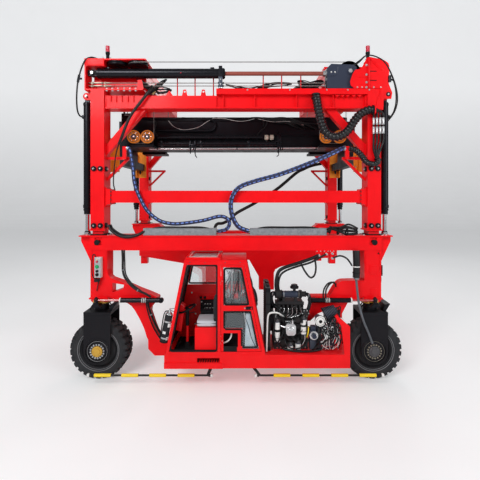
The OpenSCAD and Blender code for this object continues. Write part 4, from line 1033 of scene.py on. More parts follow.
for bx in (-0.34, -0.3):
    pins.bolts([(bx, HOIST_Y + dy, 6.23) for dy in (-0.17, 0.17)], UP, 0.014)
pins.done()

# Weld seams along the box beams
weld = Piece("weld_seams", "gantry", "red", 60)
for y in (NEAR_Y, FAR_Y):
    s = -1 if y < MID_Y else 1
    seam(weld, (-2.82, y + s * 0.15, 5.837), (2.82, y + s * 0.15, 5.837))
    for x in (-2.826, 2.826):
        seam(weld, (x, y - 0.15, BEAM_LOW), (x, y - 0.15, BEAM_TOP))
        seam(weld, (x, y + 0.15, BEAM_LOW), (x, y + 0.15, BEAM_TOP))
    for side in (-1, 1):
        for x in (side * 2.731, side * 2.705):
            for z in (3.78, 4.04):
                seam(weld, (x, y - 0.13, z), (x, y + 0.13, z))
        seam(weld, (side * LEG_X - 0.15, y - 0.204, 3.215), (side * LEG_X + 0.15, y - 0.204, 3.215))
weld.done()

# Bolts of the middle beams' joint plates
flange = Piece("mid_beam_bolts", "gantry", "dark_steel")
for y in (NEAR_Y, FAR_Y):
    for side in (-1, 1):
        for z in (3.765, 3.85, 3.94, 4.02):
            for dy in (-0.148, 0.148):
                flange.bolt((side * 2.705, y + dy, z), (-side, 0, 0), 0.013)
flange.done()

# Left tower: beacon base, wall stiffeners, knuckle ring and bolts
tower = Piece("left_tower_trim", "gantry", "red")
tower.box((-3.25, NEAR_Y - 0.196, 6.725), (-2.83, NEAR_Y - 0.19, 6.88), 0.002)
tower.prism([(-2.83, 6.875), (-1.96, 6.875), (-1.98, 6.845), (-2.83, 6.845)], "y",
            NEAR_Y - 0.196, NEAR_Y - 0.178)
for x in (-3.1, -2.7, -2.3):
    tower.prism([(NEAR_Y + 0.09, 6.25), (NEAR_Y + 0.09, 6.44), (NEAR_Y + 0.05, 6.25)], "x",
                x - 0.006, x + 0.006)
tower.ring((-3.256, NEAR_Y - 0.04, 6.6), RIGHT, 0.09, 0.05, 0.014, 32)
tower.done()
pins = Piece("left_tower_bolts", "gantry", "steel", y=NEAR_Y)
pins.bolts(around((-3.265, -0.04, 6.6), LEFT, 0.07, 8), LEFT, 0.01)
pins.bolts([(-3.25, -0.04, 6.394), (-3.25, -0.04, 6.33)], LEFT, 0.02)
pins.bolts([(x, -0.1 + dy, 6.9) for x in (-2.86, -2.7) for dy in (-0.06, 0.06)], UP, 0.01)
pins.cyl((-3.12, -0.13, 6.6), (-3.12, 0.05, 6.6), 0.032, 20)
pins.bolts([(-2.6, 0.01, 6.855), (-2.15, 0.01, 6.855)], DOWN, 0.03)
pins.done()

# Hoist cylinder: knuckle, end rings, port plug and strap
knuckle = Piece("hoist_knuckle", "gantry", "cast", y=HOIST_Y)
knuckle.ring((-3.12, 0, 6.6), BACK, 0.074, 0.034, 0.11, 32)
knuckle.box((-3.1, -0.052, 6.545), (-3.0, 0.052, 6.655), 0.012)
knuckle.done()
bands = Piece("hoist_cylinder_rings", "gantry", "gloss_black", y=HOIST_Y)
bands.ring((-2.99, 0, HOIST_Z), RIGHT, 0.113, 0.1, 0.05, 44)
bands.ring((-0.27, 0, HOIST_Z), RIGHT, 0.118, 0.1, 0.04, 44)
bands.ring((-0.242, 0, HOIST_Z), RIGHT, 0.1, 0.05, 0.02, 44)
bands.box((-2.86, -0.035, 6.7), (-2.76, 0.035, 6.735), 0.006)
bands.box((-0.56, -0.035, 6.7), (-0.47, 0.035, 6.73), 0.006)
bands.done()
Piece("cylinder_plug", "gantry", "lamp_red").cyl((-1.19, HOIST_Y - 0.1, 6.585),
        (-1.19, HOIST_Y - 0.112, 6.585), 0.012, 12).done()
strap = Piece("cylinder_strap", "gantry", "grey", y=HOIST_Y)
strap.box((-0.372, -0.143, 6.232), (-0.288, 0.143, 6.49), 0.004)
strap.ring((-0.33, 0, HOIST_Z), RIGHT, 0.128, 0.104, 0.084, 44)
strap.box((-0.372, -0.18, 6.232), (-0.288, 0.18, 6.25), 0.003)
strap.done()
pins = Piece("strap_bolts", "gantry", "steel", y=HOIST_Y)
pins.bolts([(-0.33, -0.144, 6.33), (-0.33, -0.144, 6.43)], FRONT, 0.011)
pins.bolts([(x, dy, 6.25) for x in (-0.352, -0.308) for dy in (-0.16, 0.16)], UP, 0.009)
pins.done()

# Bundles of hoses behind the cylinder, with their fittings
bundle("tower_bundle", "gantry", "hose", (-2.2, NEAR_Y + 0.12, 6.5), (-1.45, NEAR_Y + 0.1, 6.28), 9, 0.09,
       0.011, (0, 0.05, -0.12), 3)
bundle("tower_bundle_b", "gantry", "hose", (-2.0, NEAR_Y + 0.02, 6.16), (-1.55, NEAR_Y + 0.08, 6.5), 6,
       0.07, 0.012, (0, 0.05, 0.02), 8)
bundle("strap_bundle", "gantry", "hose", (-0.22, NEAR_Y + 0.18, 6.42), (0.75, NEAR_Y + 0.18, 6.42), 6,
       0.045, 0.011, (0, 0.0, -0.13), 5)
bundle("mid_bundle", "gantry", "hose", (0.4, NEAR_Y + 0.19, 6.27), (1.25, NEAR_Y + 0.19, 6.45), 6, 0.05,
       0.011, (0, 0.0, 0.08), 11)
bundle("block_bundle", "gantry", "hose", (1.28, NEAR_Y + 0.2, 6.28), (1.95, NEAR_Y + 0.2, 6.5), 14, 0.07,
       0.013, (0, 0.0, 0.02), 17)
bundle("block_bundle_b", "gantry", "hose", (1.4, NEAR_Y + 0.2, 6.5), (1.9, NEAR_Y + 0.2, 6.26), 12, 0.07,
       0.013, (0, 0.0, 0.04), 19)
brass = Piece("brass_fittings", "gantry", "brass", y=NEAR_Y)
brass.cyl((-1.83, -0.02, 6.15), (-1.79, -0.02, 6.19), 0.022, 6)
brass.cyl((-1.79, -0.02, 6.19), (-1.76, -0.02, 6.22), 0.015, 12)
brass.done()
clip = Piece("bundle_clips", "gantry", "white", y=NEAR_Y)
clip.cyl((-1.76, -0.03, 6.17), (-1.69, -0.03, 6.11), 0.018, 10)
clip.cyl((-1.85, -0.03, 6.35), (-1.78, -0.03, 6.38), 0.012, 10)
clip.done()

# Thick hose from the tower across the corner brace
diag = Piece("brace_hose", "gantry", "hose", y=NEAR_Y)
diag.tube([(-1.82, -0.12, 6.3), (-1.84, -0.22, 6.18), (-2.02, -0.24, 5.94), (-2.225, -0.24, 5.667),
           (-2.33, -0.24, 5.46), (-2.41, -0.24, 5.24), (-2.5, -0.22, 5.03)], 0.03, 12, 6)
diag.tube([(-2.49, -0.225, 5.06), (-2.58, -0.15, 4.85), (-2.65, -0.08, 4.5), (-2.67, -0.06, 4.2),
           (-2.64, -0.05, 4.05)], 0.013, 10, 6)
diag.done()

# Right tower: stiffeners, dark strips painted as the shade in its slots, bolts and pin cap
PLATE_Y = NEAR_Y - 0.22
trim = Piece("right_tower_trim", "gantry", "red", y=PLATE_Y)
trim.prism([(2.82, 6.235), (2.85, 6.235), (2.85, 6.87), (2.82, 6.86)], "y", -0.055, 0)
trim.prism([(2.86, 6.868), (3.1, 6.66), (3.17, 6.62), (3.17, 6.59), (3.09, 6.62),
            (2.86, 6.845)], "y", -0.012, 0)
for z in (6.3, 6.46):
    trim.prism([(2.62, z), (2.82, z), (2.82, z + 0.012), (2.62, z + 0.012)], "y", -0.008, 0)
trim.done()
# Black strips on the plate's face where its slots are: painted shade inside the openings
dark = Piece("tower_slot_shade", "gantry", "seal")
for z in (6.592, 6.396):
    dark.box((2.87, PLATE_Y - 0.003, z - 0.009), (3.008, PLATE_Y + 0.001, z + 0.009), 0.001)
dark.done()
pins = Piece("right_tower_bolts", "gantry", "steel", y=PLATE_Y)
for z in (6.725, 6.52, 6.355, 6.25):
    pins.bolt((2.795, 0, z), FRONT, 0.018)
pins.bolt((LIFT_X, 0, 6.1), FRONT, 0.02)
pins.bolts([(x, 0, 6.25) for x in (2.6, 2.7, 2.95, 3.1)], FRONT, 0.012)
pins.done()
eye = Piece("tower_pin_cap", "gantry", "gloss_black", y=PLATE_Y)
eye.ring((LIFT_X, -0.004, 6.1), BACK, 0.047, 0.02, 0.012, 28)
eye.cyl((LIFT_X, 0, 6.1), (LIFT_X, -0.01, 6.1), 0.03, 20)
eye.done()

# Sheave block: plate trim, bolts, sheave and rod end
BLOCK_FACE = HOIST_Y - 0.105
trim = Piece("block_trim", "hoist_block", "slate", y=BLOCK_FACE)
trim.prism([(1.985, 6.245), (2.575, 6.245), (2.575, 6.275), (1.985, 6.275)], "y", -0.012, 0)
trim.tube([(2.0, -0.003, 6.52), (2.1, -0.003, 6.52), (2.17, -0.003, 6.55), (2.2, -0.003, 6.63),
           (2.2, -0.003, 6.72)], 0.007, 8, 5)
trim.ring((SHEAVE.x, -0.006, SHEAVE.z), BACK, 0.075, 0.03, 0.02, 36)
trim.done()
Piece("block_bolts", "hoist_block", "white").bolts([(2.06, BLOCK_FACE, 6.6), (2.14, BLOCK_FACE, 6.6)],
        FRONT, 0.011).done()
pins = Piece("block_axle_nut", "hoist_block", "steel")
pins.bolt((SHEAVE.x, BLOCK_FACE - 0.014, SHEAVE.z), FRONT, 0.03)
pins.bolts(around((1.97, HOIST_Y, HOIST_Z), LEFT, 0.07, 6), LEFT, 0.012)
pins.done()
sheave = Piece("block_sheave_black", "hoist_block", "gloss_black")
profile = [(-0.03, 0.075), (-0.03, 0.243), (-0.024, 0.245), (-0.012, 0.231), (0.012, 0.231), (0.024, 0.245),
           (0.03, 0.243), (0.03, 0.075)]
sheave.lathe(SHEAVE, BACK, profile, 56)
sheave.done()
nut = Piece("rod_end", "hoist_block", "steel", y=HOIST_Y)
nut.cyl((1.9, 0, HOIST_Z), (1.969, 0, HOIST_Z), 0.062, 6)
nut.ring((1.962, 0, HOIST_Z), RIGHT, 0.085, 0.045, 0.014, 32)
nut.done()

# Beacons: ribbed lens over a black base with a guard ring
base = Piece("beacon_bases", "gantry", "seal")
cap = Piece("beacon_domes", "gantry", "lamp_red")
for bx in (-2.78, 2.86):
    z = 6.875
    base.lathe((bx, NEAR_Y - 0.1, z), UP, [(0, 0.05), (0.02, 0.05), (0.022, 0.036), (0.12, 0.036),
            (0.13, 0.047), (0.168, 0.047)], 28)
    base.ring((bx, NEAR_Y - 0.1, z + 0.12), UP, 0.042, 0.034, 0.02, 28)
    cap.lathe((bx, NEAR_Y - 0.1, z + 0.17), UP,
              [(0, 0.0445), (0.03, 0.046), (0.1, 0.0455), (0.12, 0.04), (0.129, 0.026)], 28)
base.done()
cap.done()

# Cross beams on top: bolted covers and seams
trim = Piece("cross_beam_covers", "gantry", "red")
pins = Piece("cross_beam_bolts", "gantry", "steel")
for s in (-1, 1):
    for y in (-0.9, 0.1, 1.1, 1.8):
        trim.box((s * 2.57 - 0.33, y - 0.28, 6.85), (s * 2.57 + 0.33, y + 0.28, 6.858), 0.002)
        pins.bolts([(s * 2.57 + dx, y + dy, 6.858) for dx in (-0.29, 0.29)
                    for dy in (-0.24, 0, 0.24)], UP, 0.011)
    for z in (6.46, 6.67):
        seam(trim, (s * 3.153, -1.5, z), (s * 3.153, 2.3, z))
        seam(trim, (s * 1.987, -1.3, z), (s * 1.987, 2.3, z))
trim.done()
pins.done()

# Black control box hung under the cross beam behind the brace
box = Piece("junction_box", "gantry", "black")
box.box((-2.74, -0.95, 5.62), (-2.46, -0.75, 5.9), 0.012)
box.bar((-2.7, -0.85, 5.9), (-2.7, -0.85, 6.46), 0.05, 0.03)
box.bar((-2.5, -0.85, 5.9), (-2.5, -0.85, 6.46), 0.05, 0.03)
box.done()
Piece("junction_lid", "gantry", "zinc").box((-2.66, -0.956, 5.845), (-2.56, -0.95, 5.865), 0.002).done()


# Cab
FLOOR_Z = 0.765
CAB_TOP = 2.615
CAB_BACK = FRONT_Y + 1.08
BAY_X = -0.32
CAB_TILT = 0.375 / 1.85


def cab_left(z):
    return -1.39 + CAB_TILT * (z - FLOOR_Z)


def cab_right(z):
    return 0.6 - CAB_TILT * (z - FLOOR_Z)


def rounded(outline, r, n=5):
    """The outline's path with each corner turned into an arc."""
    pts = [Vector((p[0], p[1])) for p in outline]
    out = []
    for i, p in enumerate(pts):
        a = (pts[i - 1] - p).normalized()
        b = (pts[(i + 1) % len(pts)] - p).normalized()
        for k in range(n + 1):
            t = k / n
            out.append((p + a * r) * (1 - t) ** 2 + p * 2 * t * (1 - t) + (p + b * r) * t ** 2)
    return out


def seal_loop(piece, outline, y, width, r=0.06, depth=0.012):
    """A flat rubber strip that runs round an opening."""
    path = rounded(outline, r)
    n = len(path)
    centre = sum(path, Vector((0, 0))) / n
    rings = []
    for i, p in enumerate(path):
        t = (path[(i + 1) % n] - path[i - 1]).normalized()
        out = Vector((t.y, -t.x))
        if out.dot(p - centre) < 0:
            out = -out
        q = p - out * width
        rings.append([(p.x, y - depth, p.y), (p.x, y, p.y), (q.x, y, q.y), (q.x, y - depth, q.y)])
    piece.skin(rings, True)


def slant_box(z0, z1, inset_l, inset_r, left=None, right=None):
    """Four corners between heights, along the cab's sloping ends."""
    x0a, x0b = (left, left) if left is not None else (cab_left(z0) + inset_l, cab_left(z1) + inset_l)
    x1a, x1b = (right, right) if right is not None else (cab_right(z0) - inset_r, cab_right(z1) - inset_r)
    return [(x0a, z0), (x1a, z0), (x1b, z1), (x0b, z1)]


seals = Piece("cab_seals", NEAR, "seal")
seal_loop(seals, slant_box(0.827, 2.553, 0.062, 0, right=-0.352), FRONT_Y + 0.002, 0.028, 0.07)
seal_loop(seals, slant_box(0.827, 2.553, 0.062, 0, right=-0.352), FRONT_Y + 0.07, 0.02, 0.07)
seal_loop(seals, slant_box(1.945, 2.552, 0.064, 0.064), CAB_BACK - 0.032, 0.035, 0.06)
seals.done()
seals = Piece("door_seals", "cab_door", "seal")
DOOR_Y = FRONT_Y + 0.01
seal_loop(seals, slant_box(1.747, 2.5, 0, 0.115, left=-0.235), DOOR_Y, 0.036, 0.07)
low = slant_box(0.905, 1.633, 0, 0.115, left=0.14)
seal_loop(seals, [low[0], low[1], low[2], (-0.235, 1.633), (-0.235, 1.287), (0.14, 1.287)],
          DOOR_Y, 0.028, 0.04)
seals.done()
rim = Piece("cab_roof_hatch_frame", NEAR, "white")
hx0, hx1 = cab_left(CAB_TOP) + 0.02, BAY_X + 0.02
hy0, hy1 = FRONT_Y + 0.06, CAB_BACK - 0.06
HATCH = ((hx0 + 0.06, hx1 - 0.06), (hy0 + 0.06, hy1 - 0.06))
for x0, x1, y0, y1 in ((HATCH[0][0], HATCH[0][1], HATCH[1][0], hy0 + 0.07),
                       (HATCH[0][0], HATCH[0][1], hy1 - 0.07, HATCH[1][1]),
                       (HATCH[0][0], hx0 + 0.07, HATCH[1][0], HATCH[1][1]),
                       (hx1 - 0.07, HATCH[0][1], HATCH[1][0], HATCH[1][1])):
    rim.box((x0, y0, 2.69), (x1, y1, 2.696), 0.002)
rim.done()
pins = Piece("cab_roof_bolts", NEAR, "dark_steel")
pins.bolts([(x, y, 2.69) for x in (hx0 + 0.03, hx1 - 0.03)
            for y in (hy0 + 0.05, -1.9, hy1 - 0.05)], UP, 0.009)
pins.bolts([(x, FRONT_Y, 2.6) for x in (-0.9, -0.6, -0.2, 0.1)], FRONT, 0.007)
pins.done()
gutter = Piece("cab_gutter", NEAR, "red", y=FRONT_Y)
gutter.box((cab_left(CAB_TOP), -0.006, CAB_TOP), (cab_right(CAB_TOP), 0, CAB_TOP + 0.03), 0.002)
for a, b in ((cab_left, -1), (cab_right, 1)):
    seam(gutter, (a(0.83), 0.001, 0.83), (a(2.6), 0.001, 2.6), 0.004)
seam(gutter, (-1.38, 0.002, FLOOR_Z + 0.002), (0.59, 0.002, FLOOR_Z + 0.002), 0.005)
gutter.done()

# Door furniture: handle plate, sill strip, lock, hinge pins and wiper
grip = Piece("door_handle_trim", "cab_door", "seal", y=DOOR_Y)
hx = cab_right(1.635) - 0.103
grip.box((hx - 0.11, -0.006, 1.66), (hx + 0.03, 0, 1.725), 0.006)
grip.bar((hx - 0.1, -0.025, 1.69), (hx + 0.02, -0.025, 1.69), 0.012, 0.02)
grip.done()
Piece("door_sill_strip", "cab_door", "seal").box((-0.235, DOOR_Y - 0.002, 0.79),
        (0.035, DOOR_Y + 0.001, 0.935), 0.0005).done()
lock = Piece("door_lock", "cab_door", "steel")
lock.cyl((hx - 0.13, DOOR_Y, 1.69), (hx - 0.13, DOOR_Y - 0.01, 1.69), 0.014)
lock.bolts([(-0.262, DOOR_Y, z) for z in (1.04, 1.1, 2.23, 2.29)], FRONT, 0.006)
for z in (FLOOR_Z + 0.26, FLOOR_Z + 1.45):
    lock.cyl((-0.286, FRONT_Y - 0.014, z - 0.006), (-0.286, FRONT_Y - 0.014, z + 0.126), 0.007, 12)
lock.done()
wipe = Piece("door_wiper", "cab_door", "seal", y=DOOR_Y)
wipe.tube([(-0.1, 0.006, 1.78), (-0.06, -0.012, 1.83), (0.06, -0.012, 2.28)], 0.006, 8, 3)
wipe.bar((0.06, -0.01, 2.0), (0.06, -0.01, 2.42), 0.01, 0.016)
wipe.done()

# Steering wheel's rim, column boot and levers beside the seat
wheel_c = Vector((-1.01, FRONT_Y + 0.42, FLOOR_Z + 0.8))
tilt = Vector((-math.sin(math.radians(25)), 0, math.cos(math.radians(25))))
rimp = Piece("steering_wheel_rim", NEAR, "seal")
rimp.ring(wheel_c, tilt, 0.189, 0.151, 0.037, 48)
rimp.lathe(wheel_c - tilt * 0.012, tilt, [(0, 0.046), (0.03, 0.047), (0.046, 0.035), (0.05, 0.01)], 24)
rimp.lathe((-1.01, FRONT_Y + 0.42, FLOOR_Z), UP,
           [(0, 0.095), (0.02, 0.09), (0.03, 0.07), (0.05, 0.075), (0.06, 0.058), (0.08, 0.062),
           (0.09, 0.045), (0.12, 0.034)], 24)
rimp.cyl((-1.01, FRONT_Y + 0.42, FLOOR_Z + 0.45), (-1.01, FRONT_Y + 0.42, FLOOR_Z + 0.79), 0.037)
rimp.tube([(-1.01, FRONT_Y + 0.42, FLOOR_Z + 0.7), (-0.92, FRONT_Y + 0.36, FLOOR_Z + 0.73),
           (-0.84, FRONT_Y + 0.33, FLOOR_Z + 0.76)], 0.008, 8, 4)
rimp.done()
dash = Piece("side_controls", NEAR, "black", y=FRONT_Y)
dash.box((-0.76, 0.6, FLOOR_Z + 0.53), (-0.46, 0.72, FLOOR_Z + 0.7), 0.012)
dash.box((-0.74, 0.61, FLOOR_Z + 0.7), (-0.5, 0.7, FLOOR_Z + 0.73), 0.008)
for x, h in ((-0.71, 0.12), (-0.65, 0.15), (-0.59, 0.11), (-0.53, 0.14)):
    dash.lathe((x, 0.65, FLOOR_Z + 0.72), (0.1, 0, 1),
               [(0, 0.02), (0.02, 0.012), (0.05, 0.007), (h - 0.04, 0.007), (h - 0.03, 0.02), (h, 0.021),
               (h + 0.012, 0.01)], 14)
dash.done()

# Rear wall of the cab: cabinets, switch box, lamps, and the rack whose bars and bolts are white as painted
# highlights
WALL_Y = CAB_BACK - 0.061
back = Piece("rear_wall_kit", NEAR, "seal", y=WALL_Y)
back.box((-0.3, -0.04, 1.35), (0.1, 0, 1.8), 0.01)
back.box((-0.8, -0.07, 0.96), (-0.42, 0, 1.6), 0.014)
for x in (-0.79, -0.7):
    back.lathe((x, -0.05, 1.655), FRONT, [(0, 0.03), (0.01, 0.03), (0.016, 0.018)], 24)
for k in range(6):
    back.tube([(-0.78 + 0.05 * k, -0.07, 1.5 - 0.04 * k), (-0.74 + 0.05 * k, -0.12, 1.4 - 0.03 * k),
               (-0.7 + 0.04 * k, -0.12, 1.2), (-0.75 + 0.05 * k, -0.07, 1.02)], 0.012, 8, 5)
back.done()
Piece("wall_switch_box", NEAR, "red").box((-0.85, WALL_Y - 0.05, 1.61), (-0.45, WALL_Y, 1.7), 0.01).done()
lit = Piece("rear_wall_lamps", NEAR, "white", y=WALL_Y)
lit.box((-0.25, -0.044, 1.66), (0.02, -0.04, 1.76), 0.003)
for x in (-0.2, -0.13, -0.06, 0.01):
    lit.cyl((x, -0.04, 1.58), (x, -0.052, 1.58), 0.018)
lit.bolts([(-1.084, 0, 1.05), (-0.916, 0, 1.478), (-0.916, 0, 1.276), (-0.916, 0, 1.05),
           (-1.0, 0, 1.75)], FRONT, 0.014)
lit.done()
# The rack's steel bars and bolts are white enamel: painted highlights on metal in the dark cab
lit = Piece("wall_rack_painted_highlights", NEAR, "white", y=WALL_Y)
for k in range(6):
    z = 1.06 + 0.09 * k
    lit.box((-0.76 + 0.02 * (k % 3), -0.078, z), (-0.5 - 0.03 * (k % 2), -0.07, z + 0.014), 0.003)
lit.bolts([(x, -0.07, z) for x in (-0.77, -0.46) for z in (1.0, 1.3, 1.56)], FRONT, 0.012)
lit.done()

# Steering console, and the rail, hoses and unit beside the door
Piece("steering_console", NEAR, "red").prism([(-1.245, 1.13), (-1.13, 1.1), (-1.06, 1.62), (-1.15, 1.67)],
        "y", FRONT_Y + 0.36, FRONT_Y + 0.58, 0.012).done()
rail = Piece("door_side_rail", NEAR, "silver", y=FRONT_Y)
rail.cyl((-0.08, 0.5, 0.78), (-0.08, 0.5, 2.45), 0.014, 14)
rail.tube([(0.06, 0.5, 1.7), (0.12, 0.48, 1.85), (0.2, 0.5, 1.9), (0.26, 0.5, 1.7)], 0.012, 10, 5)
rail.box((-0.19, 0.45, 1.8), (-0.13, 0.5, 1.96), 0.008)
rail.done()
side = Piece("door_side_hoses", NEAR, "hose", y=FRONT_Y)
for k in range(9):
    x = -0.2 + 0.055 * k
    side.tube([(x, 0.6, 2.35 - 0.03 * k), (x + 0.06, 0.56, 2.2), (x - 0.05 + 0.02 * k, 0.56, 2.0),
               (x + 0.04, 0.58, 1.8), (x, 0.6, 1.64)], 0.012 + 0.002 * (k % 3), 8, 5)
side.box((-0.24, 0.52, 1.66), (0.2, 0.6, 1.78), 0.012)
side.done()
Piece("door_side_unit", NEAR, "red").box((-0.05, FRONT_Y + 0.44, 1.77),
        (0.05, FRONT_Y + 0.52, 1.86), 0.008).done()

# Floor mat, pedals, and pipes by the step
floor_kit = Piece("floor_mat", NEAR, "seal")
floor_kit.box((-1.26, FRONT_Y + 0.09, FLOOR_Z + 0.001), (-0.83, CAB_BACK - 0.09, FLOOR_Z + 0.012), 0.003)
for k in range(22):
    floor_kit.box((-1.25, FRONT_Y + 0.1 + 0.041 * k, FLOOR_Z + 0.011),
                  (-0.84, FRONT_Y + 0.115 + 0.041 * k, FLOOR_Z + 0.017), 0.002)
for y in (FRONT_Y + 0.3, FRONT_Y + 0.5):
    floor_kit.bar((-1.2, y, FLOOR_Z + 0.1), (-1.12, y, FLOOR_Z + 0.17), 0.08, 0.014)
    floor_kit.bar((-1.2, y, FLOOR_Z + 0.02), (-1.16, y, FLOOR_Z + 0.13), 0.014, 0.014)
floor_kit.done()
pipe = Piece("step_pipe", NEAR, "white", y=FRONT_Y)
pipe.tube([(-0.29, 0.14, 0.93), (-0.235, 0.13, 0.955), (-0.15, 0.12, 1.0), (-0.09, 0.12, 1.08),
           (-0.075, 0.14, 1.2)], 0.016, 10, 6)
pipe.tube([(0.3, 0.3, 0.8), (0.24, 0.3, 1.1), (0.2, 0.28, 1.4), (0.16, 0.3, 1.6)], 0.014, 10, 6)
pipe.done()


# Seat
def cushion(name, lo, hi, mat, crown):
    """An upholstered block: crowned faces, soft corners and sewn flutes."""
    lo, hi = Vector(lo), Vector(hi)
    mid, half = (lo + hi) / 2, (hi - lo) / 2
    bm = bmesh.new()
    n, seams = 14, 5
    verts = {}

    def place(u, v, w):
        key = (round(u, 4), round(v, 4), round(w, 4))
        if key not in verts:
            p = Vector((u, v, w))
            q = p.copy()
            for i in range(3):
                others = [p[j] ** 2 for j in range(3) if j != i]
                q[i] = p[i] * (1 - 0.09 * (others[0] ** 2 + others[1] ** 2) / 2)
            flute = 1 - 0.05 * (1 - abs(math.sin(math.pi * seams * (p[1] + 1) / 2))) ** 3
            edge = (1 - p[(crown + 1) % 3] ** 2) * (1 - p[(crown + 2) % 3] ** 2)
            q[crown] *= (0.86 + 0.14 * edge) * flute
            verts[key] = bm.verts.new(mid + Vector((q[0] * half[0], q[1] * half[1], q[2] * half[2])))
        return verts[key]

    steps = [-1 + 2 * k / n for k in range(n + 1)]
    for axis in range(3):
        for side in (-1, 1):
            for i in range(n):
                for j in range(n):
                    corners = []
                    for a, b in ((i, j), (i + 1, j), (i + 1, j + 1), (i, j + 1)):
                        p = [0, 0, 0]
                        p[axis], p[(axis + 1) % 3], p[(axis + 2) % 3] = side, steps[a], steps[b]
                        corners.append(place(*p))
                    bm.faces.new(corners if side > 0 else corners[::-1])
    obj = mesh_object(name, bm, mat)
    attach(obj, NEAR)
    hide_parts("driver_seat")


SEAT_X, SEAT_Z = -0.78, FLOOR_Z + 0.52
cushion("seat_cushion", (SEAT_X, FRONT_Y + 0.08, SEAT_Z + 0.002),
        (SEAT_X + 0.4, FRONT_Y + 0.56, SEAT_Z + 0.14), "seat_cover", 2)
cushion("seat_backrest", (SEAT_X + 0.33, FRONT_Y + 0.08, SEAT_Z + 0.11),
        (SEAT_X + 0.43, FRONT_Y + 0.56, SEAT_Z + 0.56), "cloth", 0)
piping = Piece("seat_piping", NEAR, "seal", y=FRONT_Y)
x0, x1, z = SEAT_X + 0.004, SEAT_X + 0.395, SEAT_Z + 0.075
piping.tube([(x1, 0.087, z), (x0 + 0.02, 0.087, z), (x0, 0.11, z), (x0, 0.53, z), (x0 + 0.02, 0.553, z),
             (x1, 0.553, z)], 0.006, 8, 3)
piping.done()


# Platform: tread plate and step grating
def chequer(piece, x0, x1, y0, y1, z, pitch=0.085):
    """Raised lozenges of a tread plate."""
    nx, ny = int((x1 - x0) / pitch), int((y1 - y0) / pitch)
    for i in range(nx):
        for j in range(ny):
            cx, cy = x0 + pitch * (i + 0.5), y0 + pitch * (j + 0.5)
            d = Vector((1, 1, 0)) if (i + j) % 2 else Vector((1, -1, 0))
            a, b = d.normalized() * 0.026, Vector((-d.y, d.x, 0)).normalized() * 0.009
            c = Vector((cx, cy, z))
            up = Vector((0, 0, 0.004))
            piece.shape([c - a, c - b, c + a, c + b, c - a * 0.6 + up, c - b * 0.4 + up, c + a * 0.6 + up,
                         c + b * 0.4 + up], [(0, 1, 5, 4), (1, 2, 6, 5), (2, 3, 7, 6), (3, 0, 4, 7),
                         (4, 5, 6, 7), (3, 2, 1, 0)])


deck = Piece("tread_plate", NEAR, "red_low")
chequer(deck, 0.66, 2.24, FRONT_Y + 0.05, FRONT_Y + 1.12, FLOOR_Z)
chequer(deck, -0.27, 0.5, FRONT_Y + 0.08, FRONT_Y + 1.0, FLOOR_Z)
seam(deck, (0.62, FRONT_Y + 0.003, FLOOR_Z + 0.001), (2.27, FRONT_Y + 0.003, FLOOR_Z + 0.001), 0.006)
deck.done()
step = Piece("step_grating", NEAR, "seal")
for k in range(9):
    step.box((-0.745 + 0.048 * k, FRONT_Y + 0.01, 0.616),
             (-0.725 + 0.048 * k, FRONT_Y + 0.15, 0.626), 0.002)
step.done()


# Engine
ENG_Y = FRONT_Y + 0.3
CLEAN_Z = 1.905


